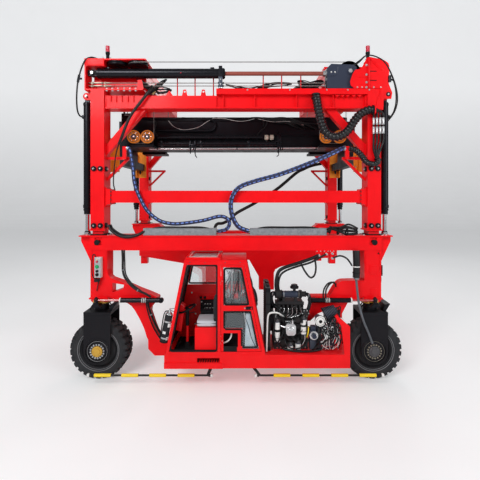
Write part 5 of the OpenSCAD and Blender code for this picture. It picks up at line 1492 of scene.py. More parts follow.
def black_engine_parts():
    """The engine's black castings, and the air cleaner over them."""
    p = Piece("engine_castings", NEAR, "cast", y=ENG_Y)
    for k in range(6):
        x = 0.9 + 0.085 * k
        p.box((x - 0.032, 0.03, 1.66), (x + 0.032, 0.3, 1.69), 0.01)
        p.tube([(x, -0.01, 1.7), (x, -0.05, 1.66), (x + 0.005, -0.045, 1.58),
                (x, 0.06, 1.55)], 0.022, 10, 4)
    p.tube([(0.86, -0.035, 1.72), (1.1, -0.04, 1.725), (1.4, -0.035, 1.72)], 0.036, 14, 4)
    for k in range(5):
        z = 0.84 + 0.09 * k
        p.box((0.795, -0.012, z), (1.48, 0.002, z + 0.018), 0.004)
    for x in (0.82, 0.97, 1.14, 1.31, 1.46):
        p.box((x - 0.012, -0.018, 0.8), (x + 0.012, 0.002, 1.27), 0.005)
    for x in (0.87, 1.02, 1.17, 1.32):
        p.box((x, 0.045, 1.3), (x + 0.014, 0.062, 1.64), 0.003)
    p.lathe((1.1, -0.14, 1.225), FRONT, [(0, 0.06), (0.01, 0.075), (0.02, 0.06), (0.03, 0.075),
            (0.04, 0.06), (0.045, 0.03)], 32)
    p.lathe((1.27, -0.09, 1.405), FRONT, [(0, 0.05), (0.01, 0.062), (0.02, 0.05), (0.03, 0.062),
            (0.04, 0.04)], 28)
    p.ring((1.185, -0.12, 1.315), BACK, 0.04, 0.012, 0.03, 24)
    p.box((1.34, -0.06, 0.98), (1.47, 0, 1.13), 0.02)
    p.box((0.9, -0.05, 0.86), (1.05, 0, 0.98), 0.02)
    p.lathe((1.43, -0.03, 1.53), FRONT, [(0, 0.075), (0.03, 0.085), (0.06, 0.075), (0.07, 0.045),
            (0.11, 0.042), (0.12, 0.03)], 28)
    p.lathe((1.43, 0.05, 1.53), FRONT, [(0, 0.05), (0.08, 0.05)], 24)
    p.box((1.2, -0.065, 1.2), (1.35, 0, 1.3), 0.012)
    p.box((0.84, -0.03, 1.33), (0.98, 0.05, 1.45), 0.02)
    p.done()
    air = Piece("air_cleaner_trim", NEAR, "gloss_black")
    y = ENG_Y - 0.02
    for x in (0.822, 0.95, 1.33, 1.437):
        air.ring((x, y, CLEAN_Z), RIGHT, 0.087 if x in (0.822, 0.95, 1.33) else 0.06, 0.05, 0.018, 36)
    air.lathe((1.21, y, CLEAN_Z + 0.12), UP, [(0, 0.045), (0.01, 0.087), (0.035, 0.089), (0.05, 0.07),
            (0.075, 0.065), (0.09, 0.03)], 28)
    air.tube([(0.83, y, CLEAN_Z), (0.76, y, CLEAN_Z + 0.01), (0.73, y + 0.03, CLEAN_Z - 0.1),
              (0.78, y + 0.08, CLEAN_Z - 0.25), (0.9, y + 0.1, 1.6)], 0.045, 14, 6)
    air.tube([(1.43, y, CLEAN_Z), (1.5, y, CLEAN_Z - 0.02), (1.53, y, CLEAN_Z - 0.13),
              (1.5, y - 0.01, 1.62), (1.45, y - 0.02, 1.55)], 0.036, 14, 6)
    air.done()
    band = Piece("air_cleaner_bands", NEAR, "steel")
    for x in (0.99, 1.3):
        band.ring((x, y, CLEAN_Z), RIGHT, 0.072, 0.064, 0.014, 36)
    for x, z in ((0.76, CLEAN_Z + 0.01), (1.5, CLEAN_Z - 0.03)):
        band.ring((x, y, z), (1, 0, -0.2), 0.05, 0.036, 0.012, 24)
    band.done()
    sleeve = Piece("air_cleaner_sleeve", NEAR, "slate")
    sleeve.lathe((0.965, y, CLEAN_Z), RIGHT, [(0, 0.0655), (0.006, 0.0685), (0.3, 0.0685),
            (0.306, 0.0655)], 40)
    for k in range(4):
        sleeve.ring((1.03 + 0.06 * k, y, CLEAN_Z), RIGHT, 0.0715, 0.066, 0.012, 40)
    sleeve.done()


black_engine_parts()


# Belt round the pulleys
def belt_path(a, ra, b, rb, y):
    """An open belt round two pulleys."""
    a, b = Vector((a[0], y, a[1])), Vector((b[0], y, b[1]))
    d = (b - a).normalized()
    n = Vector((-d.z, 0, d.x))
    pts = [a + (n * math.cos(t) - d * math.sin(t)) * ra for t in (math.pi * k / 12 for k in range(13))]
    pts += [b + (-n * math.cos(t) + d * math.sin(t)) * rb for t in (math.pi * k / 12 for k in range(13))]
    return pts + pts[:2]


belt = Piece("drive_belt", NEAR, "seal")
belt.tube(belt_path((1.1, 1.225), 0.075, (1.27, 1.405), 0.062, ENG_Y - 0.165), 0.007, 6, 0)
belt.tube(belt_path((1.1, 1.225), 0.075, (1.185, 1.315), 0.04, ENG_Y - 0.155), 0.007, 6, 0)
belt.done()

# Bright castings, bolts and lines on the engine
silver = Piece("engine_silver", NEAR, "silver", y=ENG_Y)
CAST_X, CAST_Z = 1.123, 1.234
silver.prism([(CAST_X - 0.1, CAST_Z - 0.08), (CAST_X - 0.07, CAST_Z - 0.13), (CAST_X + 0.06, CAST_Z - 0.13),
              (CAST_X + 0.1, CAST_Z - 0.09), (CAST_X + 0.1, CAST_Z + 0.06), (CAST_X + 0.05, CAST_Z + 0.12),
              (CAST_X - 0.08, CAST_Z + 0.12), (CAST_X - 0.11, CAST_Z + 0.07)], "y", -0.185, -0.145, 0.012)
silver.lathe((CAST_X - 0.01, -0.185, CAST_Z - 0.02), FRONT,
             [(0, 0.078), (0.01, 0.078), (0.016, 0.066), (0.03, 0.064), (0.034, 0.036), (0.045, 0.034),
             (0.048, 0.016)], 32)
silver.bolts(around((CAST_X - 0.01, -0.195, CAST_Z - 0.02), FRONT, 0.071, 6), FRONT, 0.008)
silver.box((CAST_X - 0.09, -0.2, CAST_Z + 0.07), (CAST_X - 0.02, -0.18, CAST_Z + 0.11), 0.006)
silver.cyl((CAST_X + 0.03, -0.17, CAST_Z + 0.1), (CAST_X + 0.03, -0.17, CAST_Z + 0.18), 0.02, 16)
silver.cyl((CAST_X - 0.11, -0.16, CAST_Z + 0.03), (CAST_X - 0.2, -0.12, CAST_Z + 0.05), 0.018, 14)
silver.lathe((1.13, -0.02, 1.225), FRONT, [(0, 0.1), (0.012, 0.108), (0.03, 0.108), (0.034, 0.098),
        (0.05, 0.108), (0.07, 0.108), (0.08, 0.09), (0.1, 0.088), (0.104, 0.05)], 32)
for k in range(12):
    a = 2 * math.pi * k / 12
    silver.bar((1.13 + 0.05 * math.cos(a), -0.128, 1.225 + 0.05 * math.sin(a)),
               (1.13 + 0.085 * math.cos(a), -0.126, 1.225 + 0.085 * math.sin(a)), 0.012, 0.008, 0.001)
silver.box((1.02, -0.08, 1.34), (1.2, -0.02, 1.37), 0.006)
silver.bolts([(x, 0.05, 1.69) for x in (0.9, 0.985, 1.07, 1.155, 1.24, 1.325)], UP, 0.012)
silver.bolts([(x, -0.012, z) for x in (0.86, 0.93, 1.04, 1.21, 1.38, 1.44)
              for z in (0.8, 1.25)], FRONT, 0.01)
silver.bolts([(x, 0.045, z) for x in (0.94, 1.09, 1.24, 1.38) for z in (1.33, 1.46, 1.6)], FRONT, 0.01)
silver.bolts(around((1.43, -0.1, 1.53), FRONT, 0.062, 6), FRONT, 0.008)
for k in range(6):
    x = 0.9 + 0.085 * k
    silver.tube([(0.98 + 0.03 * k, -0.03, 1.42), (x, -0.075, 1.5), (x + 0.01, -0.08, 1.62),
                 (x + 0.01, 0.01, 1.685)], 0.005, 8, 5)
silver.tube([(1.45, -0.03, 1.36), (1.41, -0.07, 1.2), (1.42, -0.07, 1.0), (1.36, -0.06, 0.86)], 0.01, 8, 5)
silver.tube([(0.88, -0.02, 1.56), (0.83, -0.06, 1.5), (0.82, -0.06, 1.2), (0.86, -0.05, 0.95)], 0.009, 8, 5)
silver.done()

# Filters: cans, heads and bands
white = Piece("filter_cans", NEAR, "white")
caps = Piece("filter_heads", NEAR, "dark_steel")
dark = Piece("filter_marks", NEAR, "seal")
for fx, fh, fz in ((0.855, 0.44, 1.375), (1.39, 0.33, 1.425), (1.12, 0.12, 0.895), (1.28, 0.15, 0.935)):
    y = ENG_Y - 0.07
    r = 0.0555
    white.lathe((fx, y, fz - fh), UP, [(0.0, 0.04), (0.004, r - 0.006), (0.016, r), (fh - 0.03, r),
            (fh - 0.02, r - 0.004), (fh - 0.001, r - 0.004)], 32)
    caps.lathe((fx, y, fz - 0.004), UP, [(0, 0.06), (0.02, 0.062), (0.055, 0.055), (0.06, 0.02),
            (0.075, 0.018)], 24)
    if fh > 0.2:
        dark.ring((fx, y, fz - fh * 0.45), UP, r + 0.0008, r - 0.002, fh * 0.12, 32)
        dark.ring((fx, y, fz - fh * 0.8), UP, r + 0.0008, r - 0.002, 0.012, 32)
white.done()
caps.done()
dark.done()

# Engine hoses and lines
hose = Piece("engine_hoses", NEAR, "hose")
rnd = random.Random(21)
for k in range(16):
    x0, z0 = rnd.uniform(0.84, 1.45), rnd.uniform(0.95, 1.75)
    x1, z1 = x0 + rnd.uniform(-0.35, 0.35), rnd.uniform(0.85, 1.7)
    x1 = min(max(x1, 0.82), 1.5)
    y = ENG_Y - rnd.uniform(0.03, 0.13)
    hose.tube([(x0, ENG_Y + 0.01, z0), (x0 + rnd.uniform(-0.04, 0.04), y, z0 - 0.02),
               ((x0 + x1) / 2, y - rnd.uniform(0, 0.04), (z0 + z1) / 2 - rnd.uniform(0, 0.12)),
               (x1, y, z1 + 0.03), (x1, ENG_Y + 0.01, z1)], rnd.choice((0.008, 0.011, 0.015)), 8, 5)
hose.tube([(0.98, ENG_Y - 0.08, 0.8), (1.2, ENG_Y - 0.16, 0.785), (1.5, ENG_Y - 0.18, 0.79),
           (1.75, ENG_Y - 0.12, 0.82), (1.86, ENG_Y - 0.06, 0.98)], 0.022, 12, 6)
hose.tube([(0.74, ENG_Y - 0.02, 1.6), (0.8, ENG_Y - 0.1, 1.45), (0.78, ENG_Y - 0.11, 1.1),
           (0.9, ENG_Y - 0.12, 0.83)], 0.019, 12, 6)
hose.tube([(1.0, ENG_Y - 0.1, 1.02), (1.03, ENG_Y - 0.17, 0.93), (1.16, ENG_Y - 0.18, 0.84),
           (1.4, ENG_Y - 0.15, 0.88), (1.5, ENG_Y - 0.06, 1.0)], 0.015, 10, 6)
hose.done()
Piece("yellow_line", NEAR, "yellow", y=ENG_Y).tube([(1.5, -0.02, 1.24), (1.49, -0.09, 1.2),
        (1.475, -0.1, 1.1), (1.46, -0.04, 1.02)], 0.012, 8, 5).done()
pipe = Piece("coolant_pipe", NEAR, "white")
PIPE_Y = FRONT_Y + 0.14
pipe.tube([(0.63, PIPE_Y, 0.78), (0.64, PIPE_Y, 1.1), (0.655, PIPE_Y, 1.46), (0.69, PIPE_Y, 1.545),
           (0.76, PIPE_Y, 1.565), (0.86, PIPE_Y + 0.02, 1.55), (0.98, ENG_Y - 0.05, 1.46)], 0.017, 10, 6)
pipe.done()

# Radiator: fins, tanks, cap, and the fan in its ring
rad = Piece("radiator_fins", NEAR, "black")
for k in range(34):
    y = FRONT_Y + 0.262 + 0.0225 * k
    rad.box((0.682, y, 0.86), (0.706, y + 0.0035, 1.95), 0)
for k in range(9):
    z = 0.86 + 0.13 * k
    rad.box((0.683, FRONT_Y + 0.262, z), (0.7, FRONT_Y + 0.998, z + 0.006), 0)
rad.box((0.612, FRONT_Y + 0.192, 1.955), (0.718, FRONT_Y + 1.068, 2.05), 0.012)
rad.box((0.612, FRONT_Y + 0.192, 0.768), (0.718, FRONT_Y + 1.068, 0.85), 0.012)
for k in range(24):
    z = 0.88 + 0.046 * k
    rad.box((0.612, FRONT_Y + 0.24, z), (0.62, FRONT_Y + 1.02, z + 0.012), 0)
for z in (1.1, 1.4, 1.7):
    rad.box((0.616, FRONT_Y + 0.19, z), (0.714, FRONT_Y + 0.2, z + 0.03), 0.003)
rad.lathe((0.66, FRONT_Y + 0.5, 2.09), UP, [(0, 0.04), (0.02, 0.045), (0.035, 0.045), (0.04, 0.02)], 20)
rad.done()
fan = Piece("fan", NEAR, "black")
fc = Vector((0.755, ENG_Y + 0.28, 1.38))
fan.lathe(fc - Vector((0.02, 0, 0)), RIGHT, [(0, 0.03), (0.005, 0.07), (0.05, 0.07), (0.055, 0.03)], 24)
for k in range(7):
    a = 2 * math.pi * k / 7
    r, t = Vector((0, math.cos(a), math.sin(a))), Vector((0, -math.sin(a), math.cos(a)))
    pts = []
    for rad_at, w, twist in ((0.06, 0.05, 0.018), (0.18, 0.065, 0.014), (0.29, 0.075, 0.01)):
        for s in (-1, 1):
            for e in (-0.002, 0.002):
                pts.append(fc + r * rad_at + t * w * s + Vector((twist * s + e, 0, 0)))
    faces = [(0, 2, 3, 1), (8, 9, 11, 10)]
    for i in (0, 4):
        faces += [(i, i + 4, i + 6, i + 2), (i + 1, i + 3, i + 7, i + 5), (i, i + 1, i + 5, i + 4),
                  (i + 2, i + 6, i + 7, i + 3)]
    fan.shape(pts, faces)
fan.ring(fc, RIGHT, 0.32, 0.305, 0.06, 48)
fan.done()

# Hydraulics
silver = Piece("valve_bank", NEAR, "silver")
VY = ENG_Y - 0.03
for k in range(6):
    x = 1.8 + 0.047 * k
    silver.box((x, VY - 0.05, 1.1), (x + 0.04, VY + 0.02, 1.25), 0.005)
    silver.lathe((x + 0.02, VY - 0.05, 1.2), FRONT,
                 [(0, 0.016), (0.02, 0.016), (0.022, 0.012), (0.05, 0.012)], 10)
    silver.lathe((x + 0.02, VY - 0.05, 1.14), FRONT,
                 [(0, 0.017), (0.018, 0.017), (0.02, 0.01), (0.03, 0.01)], 6)
    silver.lathe((x + 0.02, VY + 0.02, 1.285), UP,
                 [(0, 0.014), (0.03, 0.014), (0.034, 0.019), (0.05, 0.019), (0.054, 0.01)], 10)
for x in (1.83, 1.9, 1.97, 2.04):
    silver.lathe((x, ENG_Y + 0.06, 1.375), UP,
                 [(0, 0.026), (0.012, 0.026), (0.016, 0.016), (0.03, 0.016)], 6)
silver.bolts([(x, VY, z) for x in (1.84, 1.9, 1.97, 2.03) for z in (0.84, 0.98)], FRONT, 0.014)
for x, z in ((2.1, 1.0), (2.13, 1.12), (2.11, 1.26), (1.76, 0.95)):
    silver.cyl((x, VY - 0.06, z), (x, VY + 0.08, z), 0.03, 12)
    silver.lathe((x, VY - 0.06, z), FRONT, [(0, 0.022), (0.02, 0.022)], 6)
rnd = random.Random(12)
for k in range(16):
    x, z = rnd.uniform(1.8, 2.1), rnd.uniform(1.08, 1.38)
    silver.lathe((x, VY - 0.06, z), FRONT, [(0, 0.02), (0.03, 0.02), (0.034, 0.026), (0.055, 0.026),
            (0.06, 0.015), (0.09, 0.014)], 6)
    if k % 2:
        silver.tube([(x, VY - 0.14, z), (x + 0.01, VY - 0.17, z - 0.03),
                     (x + rnd.uniform(-0.05, 0.05), VY - 0.16, z - 0.16)], 0.008, 8, 5)
silver.box((1.53, ENG_Y - 0.07, 0.768), (1.66, ENG_Y + 0.15, 0.79), 0.004)
silver.bolts(around((1.59, ENG_Y - 0.152, 1.095), FRONT, 0.07, 6), FRONT, 0.01)
silver.ring((1.59, ENG_Y - 0.148, 1.095), BACK, 0.088, 0.05, 0.012, 36)
silver.done()
pump = Piece("pump_ribs", NEAR, "slate", y=ENG_Y)
for k in range(5):
    pump.ring((1.59, -0.12 + 0.04 * k, 1.095), BACK, 0.089, 0.08, 0.012, 36)
pump.lathe((1.59, -0.2, 1.095), FRONT, [(0, 0.046), (0.02, 0.046), (0.024, 0.03), (0.04, 0.028)], 20)
pump.box((1.54, -0.09, 1.17), (1.64, 0.03, 1.26), 0.012)
pump.done()
Piece("pump_disc", NEAR, "white").lathe((1.72, ENG_Y - 0.151, 1.385), FRONT,
        [(0, 0.106), (0.004, 0.106), (0.01, 0.1), (0.012, 0.07), (0.02, 0.066), (0.022, 0.03)], 40).done()
dial = Piece("pump_disc_hub", NEAR, "seal")
dial.lathe((1.72, ENG_Y - 0.165, 1.385), FRONT, [(0, 0.035), (0.016, 0.032), (0.02, 0.012)], 20)
dial.ring((1.72, ENG_Y - 0.156, 1.385), BACK, 0.085, 0.076, 0.014, 36)
dial.done()
cone = Piece("ribbed_cone", NEAR, "gloss_black")
axis = Vector((math.sin(math.radians(62)), 0, math.cos(math.radians(62))))
base_c = Vector((1.85, ENG_Y + 0.06, FLOOR_Z + 0.69))
for k in range(9):
    d = 0.012 + 0.029 * k
    r = 0.15 + (0.09 - 0.15) * d / 0.26
    cone.ring(base_c + axis * d, axis, r + 0.006, r - 0.006, 0.014, 36)
cone.lathe(base_c - axis * 0.012, axis, [(0, 0.11), (0.004, 0.148), (0.014, 0.152)], 36)
cone.done()
hose = Piece("hydraulic_hoses", NEAR, "hose")
rnd = random.Random(33)
for k in range(16):
    x0 = rnd.choice((1.82, 1.87, 1.92, 1.965, 2.01, 2.06))
    z0 = rnd.choice((1.14, 1.2, 1.32, 1.43))
    x1, z1 = rnd.uniform(1.5, 2.15), rnd.uniform(0.79, 1.05)
    y = VY - rnd.uniform(0.1, 0.19)
    hose.tube([(x0, VY - 0.05, z0), (x0 + rnd.uniform(-0.02, 0.02), y, z0 + rnd.uniform(-0.02, 0.05)),
               ((x0 + x1) / 2 + rnd.uniform(-0.1, 0.1), y - 0.02, (z0 + z1) / 2 + 0.06),
               (x1, y + 0.02, z1 + 0.04), (x1, VY - 0.03, z1 - 0.02)],
               rnd.choice((0.01, 0.013, 0.017)), 8, 5)
for k in range(5):
    x = 1.84 + 0.05 * k
    hose.tube([(x, ENG_Y + 0.06, 1.4), (x + 0.01, ENG_Y + 0.05, 1.52),
               (x + 0.13, ENG_Y + 0.04, 1.55 + 0.02 * k), (2.17, ENG_Y + 0.1, 1.42),
               (2.2, ENG_Y + 0.15, 1.1)], 0.013, 8, 6)
hose.tube([(1.72, ENG_Y - 0.02, 1.28), (1.7, ENG_Y - 0.1, 1.16), (1.69, ENG_Y - 0.12, 1.0),
           (1.66, ENG_Y - 0.08, 0.82)], 0.024, 12, 6)
hose.done()
white = Piece("pale_lines", NEAR, "white", y=VY)
rnd = random.Random(4)
for k in range(7):
    x0 = rnd.uniform(1.75, 2.1)
    white.tube([(x0, -0.06, rnd.uniform(1.1, 1.35)), (x0 + 0.03, -0.17, 1.1),
                (x0 + rnd.uniform(-0.12, 0.08), -0.18, 0.95), (x0 + rnd.uniform(-0.1, 0.1), -0.08,
                0.8)], 0.006, 6, 5)
white.box((2.1, -0.09, 1.36), (2.2, -0.02, 1.43), 0.015)
white.done()

# Cab's left window, dark, and the film on the door's lower pane
pane = Piece("left_pane", NEAR, "smoked")
rim = Piece("left_pane_seal", NEAR, "seal")
PANE_Y = (FRONT_Y + 0.085, CAB_BACK - 0.085)
PANE_Z = (FLOOR_Z + 0.085, CAB_TOP - 0.085)


def pane_corner(y, z, inset=0.03):
    return Vector((cab_left(z) + inset, y, z))


pane.shape([pane_corner(y, z, i) for y in PANE_Y for z in PANE_Z for i in (0.03, 0.036)],
           [(0, 1, 3, 2), (4, 6, 7, 5), (0, 2, 6, 4), (1, 5, 7, 3), (0, 4, 5, 1), (2, 3, 7, 6)])
pane.done()
for y in PANE_Y:
    rim.bar(pane_corner(y, PANE_Z[0]), pane_corner(y, PANE_Z[1]), 0.03, 0.05)
for z in PANE_Z:
    rim.bar(pane_corner(PANE_Y[0], z), pane_corner(PANE_Y[1], z), 0.03, 0.04)
rim.bar(pane_corner(PANE_Y[1] - 0.2, PANE_Z[0]), pane_corner(PANE_Y[1] - 0.2, PANE_Z[1]), 0.012, 0.03)
rim.done()

lining = Piece("locker_lining", NEAR, "seal")
lining.shape([Vector((x, y, z)) for y in (FRONT_Y + 0.3, FRONT_Y + 0.31) for x,
              z in ((BAY_X + 0.05, FLOOR_Z + 0.005), (cab_right(FLOOR_Z) - 0.06, FLOOR_Z + 0.005),
              (cab_right(1.62) - 0.06, 1.62), (BAY_X + 0.05, 1.62))],
              [(0, 1, 2, 3), (4, 7, 6, 5), (0, 4, 5, 1), (1, 5, 6, 2), (2, 6, 7, 3), (3, 7, 4, 0)])
lining.done()
Piece("door_pane_film", "cab_door", "film").prism([(0.215, 1.575), (0.325, 1.575), (0.44, 0.885),
        (0.19, 0.885)], "y", FRONT_Y + 0.034, FRONT_Y + 0.038, 0).done()
Piece("door_inner_line", "cab_door", "seal", y=FRONT_Y).tube([(0.2, 0.028, 1.5), (0.27, 0.028, 1.3),
        (0.32, 0.028, 1.1), (0.4, 0.028, 0.93)], 0.006, 8, 6).done()

# Control box and extinguisher
BOX_Y = NEAR_Y - 0.28
box = Piece("control_box_trim", NEAR, "steel", y=BOX_Y)
box.box((-2.995, -0.012, 2.195), (-2.865, -0.002, 2.615), 0.004)
for z in (2.25, 2.56):
    box.cyl((-2.868, -0.012, z - 0.03), (-2.868, -0.012, z + 0.03), 0.008, 10)
box.done()
for key, z, r in (("green", 2.424, 0.034), ("lamp_red", 2.53, 0.02), ("lamp_amber", 2.575, 0.012),
                  ("seal", 2.33, 0.026), ("seal", 2.255, 0.03)):
    Piece("control_%s_%d" % (key, z * 1000), NEAR, key).lathe((-2.94, BOX_Y - 0.012, z), FRONT,
            [(0, r * 1.2), (0.008, r * 1.2), (0.01, r), (0.03, r * 0.9), (0.034, r * 0.5)], 24).done()
lead = Piece("control_leads", NEAR, "hose", y=BOX_Y)
lead.tube([(-2.98, 0.02, 2.62), (-2.99, -0.01, 2.68), (-3.03, 0, 2.66), (-3.06, 0.02, 2.5),
           (-3.05, 0.02, 2.25), (-3.0, 0.03, 2.16), (-2.95, 0.03, 2.19)], 0.011, 10, 6)
lead.tube([(-2.9, 0.03, 2.19), (-2.89, 0, 2.13), (-2.93, 0.03, 2.05), (-2.97, 0.06, 1.9)], 0.011, 10, 6)
lead.box((-3.0, -0.03, 2.1), (-2.9, 0.05, 2.16), 0.01)
lead.done()
EXT = math.radians(11.46)


def ext(lx, y, lz):
    return Vector((-1.39 + lx * math.cos(EXT) + lz * math.sin(EXT), y,
                   FLOOR_Z - lx * math.sin(EXT) + lz * math.cos(EXT)))


up = (ext(0, 0, 1) - ext(0, 0, 0)).normalized()
EXT_Y = FRONT_Y + 0.03
can = Piece("extinguisher_bands", NEAR, "steel")
for lz in (0.33, 0.66):
    can.ring(ext(-0.087, EXT_Y, lz), up, 0.0765, 0.073, 0.03, 36)
    can.box(ext(-0.03, EXT_Y, lz) - Vector((0.02, 0.02, 0.02)),
            ext(-0.03, EXT_Y, lz) + Vector((0.05, 0.02, 0.02)), 0.004)
can.lathe(ext(-0.087, EXT_Y, 0.865), up, [(0, 0.022), (0.02, 0.022), (0.022, 0.016), (0.05, 0.016)], 16)
can.done()
can = Piece("extinguisher_valve", NEAR, "silver")
can.lathe(ext(-0.087, EXT_Y, 0.8), up, [(0, 0.074), (0.03, 0.055), (0.045, 0.03), (0.06, 0.026),
        (0.08, 0.026)], 28)
can.lathe(ext(-0.087, EXT_Y - 0.03, 0.855), FRONT, [(0, 0.018), (0.012, 0.018), (0.014, 0.012)], 16)
can.done()
patch = Piece("extinguisher_patches", NEAR, "white")
for lz, h, f0, f1 in ((0.56, 0.075, -1.2, -0.2), (0.42, 0.05, -2.3, -1.4), (0.3, 0.06, -1.0, 0.1)):
    arc = [f0 + (f1 - f0) * k / 6 for k in range(7)]
    rows = [[ext(-0.087 + r * math.cos(f), EXT_Y + r * math.sin(f), lz + d) for f in arc] for r,
            d in ((0.0762, 0), (0.0762, h), (0.074, h), (0.074, 0))]
    faces = [(7 * a + k, 7 * a + k + 1, 7 * ((a + 1) % 4) + k + 1, 7 * ((a + 1) % 4) + k) for a in range(4)
             for k in range(6)]
    patch.shape(sum(rows, []), faces + [(0, 7, 14, 21), (6, 27, 20, 13)])
patch.done()
can = Piece("extinguisher_fittings", NEAR, "seal")
can.bar(ext(-0.1, EXT_Y, 0.9), ext(0.0, EXT_Y, 0.94), 0.02, 0.008)
can.bar(ext(-0.1, EXT_Y, 0.88), ext(0.0, EXT_Y, 0.87), 0.02, 0.008)
can.tube([ext(-0.1, EXT_Y, 0.86), ext(-0.17, EXT_Y - 0.02, 0.84), ext(-0.185, EXT_Y - 0.02, 0.7),
          ext(-0.17, EXT_Y - 0.02, 0.4)], 0.011, 10, 6)
can.lathe(ext(-0.17, EXT_Y - 0.02, 0.4), -up, [(0, 0.012), (0.01, 0.02), (0.07, 0.026)], 16)
can.ring(ext(-0.087, EXT_Y, 0.25), up, 0.08, 0.06, 0.03, 32)
can.done()

# Trays, wrapped hoses and small lines on the near chassis beam
TRAY = ((-1.98, -0.42), (0.3, 1.94))
mesh = Piece("tray_slots", NEAR, "zinc")
dark = Piece("tray_hoses", NEAR, "hose")
for x0, x1 in TRAY:
    n = int((x1 - x0) / 0.065)
    for k in range(n + 1):
        x = x0 + 0.012 + (x1 - x0 - 0.024) * k / n
        mesh.box((x - 0.006, -1.859, 3.095), (x + 0.006, -1.852, 3.222), 0.001)
    for z in (3.092, 3.157, 3.222):
        mesh.box((x0, -1.861, z - 0.005), (x1, -1.853, z + 0.005), 0.001)
    mesh.box((x0, -1.861, 3.224), (x1, -1.69, 3.232), 0.001)
    for k in range(4):
        y = -1.83 + 0.035 * k
        dark.tube([(x0 - 0.05, y, 3.15), (x0 + 0.3, y + 0.01, 3.245), ((x0 + x1) / 2, y, 3.25),
                   (x1 - 0.3, y - 0.01, 3.247), (x1 + 0.05, y, 3.16)], 0.014, 8, 6)
mesh.done()
dark.tube([(-2.72, -1.83, 3.3), (-2.66, -1.87, 3.2), (-2.5, -1.89, 3.09), (-2.3, -1.89, 3.05),
           (-2.1, -1.88, 3.09), (-1.95, -1.83, 3.17)], 0.031, 14, 7)
dark.tube([(-2.69, -1.8, 3.3), (-2.62, -1.86, 3.22), (-2.45, -1.87, 3.11), (-2.25, -1.86, 3.08),
           (-2.05, -1.85, 3.12), (-1.95, -1.8, 3.18)], 0.02, 12, 7)
dark.tube([(-2.43, -1.84, 2.77), (-2.415, -1.86, 2.6), (-2.4, -1.88, 2.3), (-2.3, -1.92, 2.12),
           (-2.12, -1.97, 1.97), (-1.9, -1.99, 1.87), (-1.78, -1.985, 1.8)], 0.024, 12, 7)
dark.tube([(-2.38, -1.86, 2.77), (-2.37, -1.87, 2.55), (-2.34, -1.9, 2.27), (-2.2, -1.95, 2.08),
           (-2.02, -1.99, 1.95), (-1.88, -2.0, 1.85)], 0.015, 10, 7)
dark.tube([(-1.86, -1.93, 1.68), (-1.84, -1.9, 1.52), (-1.74, -1.88, 1.25), (-1.62, -1.87, 1.02),
           (-1.52, -1.87, 0.86)], 0.022, 12, 7)
dark.tube([(-1.9, -1.92, 1.68), (-1.88, -1.9, 1.5), (-1.79, -1.88, 1.2), (-1.68, -1.87, 0.98),
           (-1.6, -1.86, 0.86)], 0.014, 10, 7)
for k in range(7):
    y, z = -1.83 + 0.03 * (k % 3), 3.1 + 0.035 * (k // 2)
    dark.tube([(1.9, y, z), (2.06, y - 0.01, z + 0.12 - 0.012 * k), (2.24, y - 0.02, z + 0.05),
               (2.42, y, z - 0.01 + 0.02 * k), (2.62, y + 0.02, z + 0.02)], 0.021, 10, 7)
dark.done()
wrap = Piece("hose_wraps", NEAR, "seal")
for x, z in ((2.02, 3.22), (2.2, 3.2), (2.38, 3.16)):
    wrap.ring((x, -1.82, z - 0.02), (1, 0, -0.2), 0.085, 0.07, 0.03, 28)
wrap.done()
clip = Piece("hose_clips", NEAR, "zinc")
for x, y, z, a in ((-2.4, -1.88, 2.35, (0.1, 0, -1)), (-2.06, -1.98, 1.94, (1, 0, -0.6)),
                   (-1.8, -1.89, 1.4, (0.4, 0, -1))):
    clip.ring((x, y, z), a, 0.034, 0.022, 0.022, 24)
clip.done()

# Blocks, valves and hoses under the beam
lug = Piece("beam_blocks", NEAR, "red")
LUG_Y = (-1.87, -1.8)
for x0, x1, z0, z1 in ((1.715, 1.83, 2.54, 2.765), (1.875, 1.985, 2.6, 2.765), (2.0, 2.11, 2.5, 2.765)):
    lug.box((x0, LUG_Y[0], z0), (x1, LUG_Y[1], z1), 0.008)
lug.done()
bit = Piece("beam_valves", NEAR, "steel")
for x, z in ((1.77, 2.66), (1.93, 2.69), (2.055, 2.6), (2.055, 2.7)):
    bit.lathe((x, LUG_Y[0], z), FRONT, [(0, 0.026), (0.016, 0.026), (0.018, 0.016), (0.05, 0.016),
            (0.052, 0.022), (0.07, 0.02)], 16)
bit.bolts([(x, LUG_Y[0], 2.745) for x in (1.735, 1.81, 1.89, 1.97, 2.02, 2.09)], FRONT, 0.009)
bit.done()
hose = Piece("beam_hoses", NEAR, "hose")
hose.tube([(0.95, -2.05, 1.75), (0.85, -2.02, 2.0), (0.88, -2.0, 2.28), (0.99, -1.98, 2.4),
           (1.3, -1.95, 2.5), (1.55, -1.93, 2.58), (1.75, -1.92, 2.66)], 0.036, 14, 8)
hose.tube([(0.98, -2.02, 1.75), (0.9, -2.0, 2.0), (0.93, -1.97, 2.22), (1.05, -1.95, 2.34),
           (1.33, -1.93, 2.44), (1.6, -1.92, 2.52), (1.91, -1.92, 2.69)], 0.022, 12, 8)
hose.tube([(1.38, -1.94, 2.5), (1.44, -1.96, 2.37), (1.53, -1.96, 2.24), (1.6, -1.95, 2.2),
           (1.67, -1.94, 2.26), (1.7, -1.92, 2.4), (1.69, -1.91, 2.6), (1.76, -1.91, 2.68)], 0.02, 12, 8)
hose.tube([(2.05, -1.92, 2.6), (2.2, -1.95, 2.66), (2.35, -1.95, 2.6), (2.46, -1.94, 2.45)], 0.018, 10, 8)
for dx in (0, 0.05):
    hose.tube([(1.84 + dx, -1.99, 1.78), (1.85 + dx, -2.0, 1.95), (1.93 + dx, -1.98, 2.07),
               (2.03 + dx, -1.95, 2.1), (2.13, -1.9, 2.05 - dx)], 0.017, 10, 7)
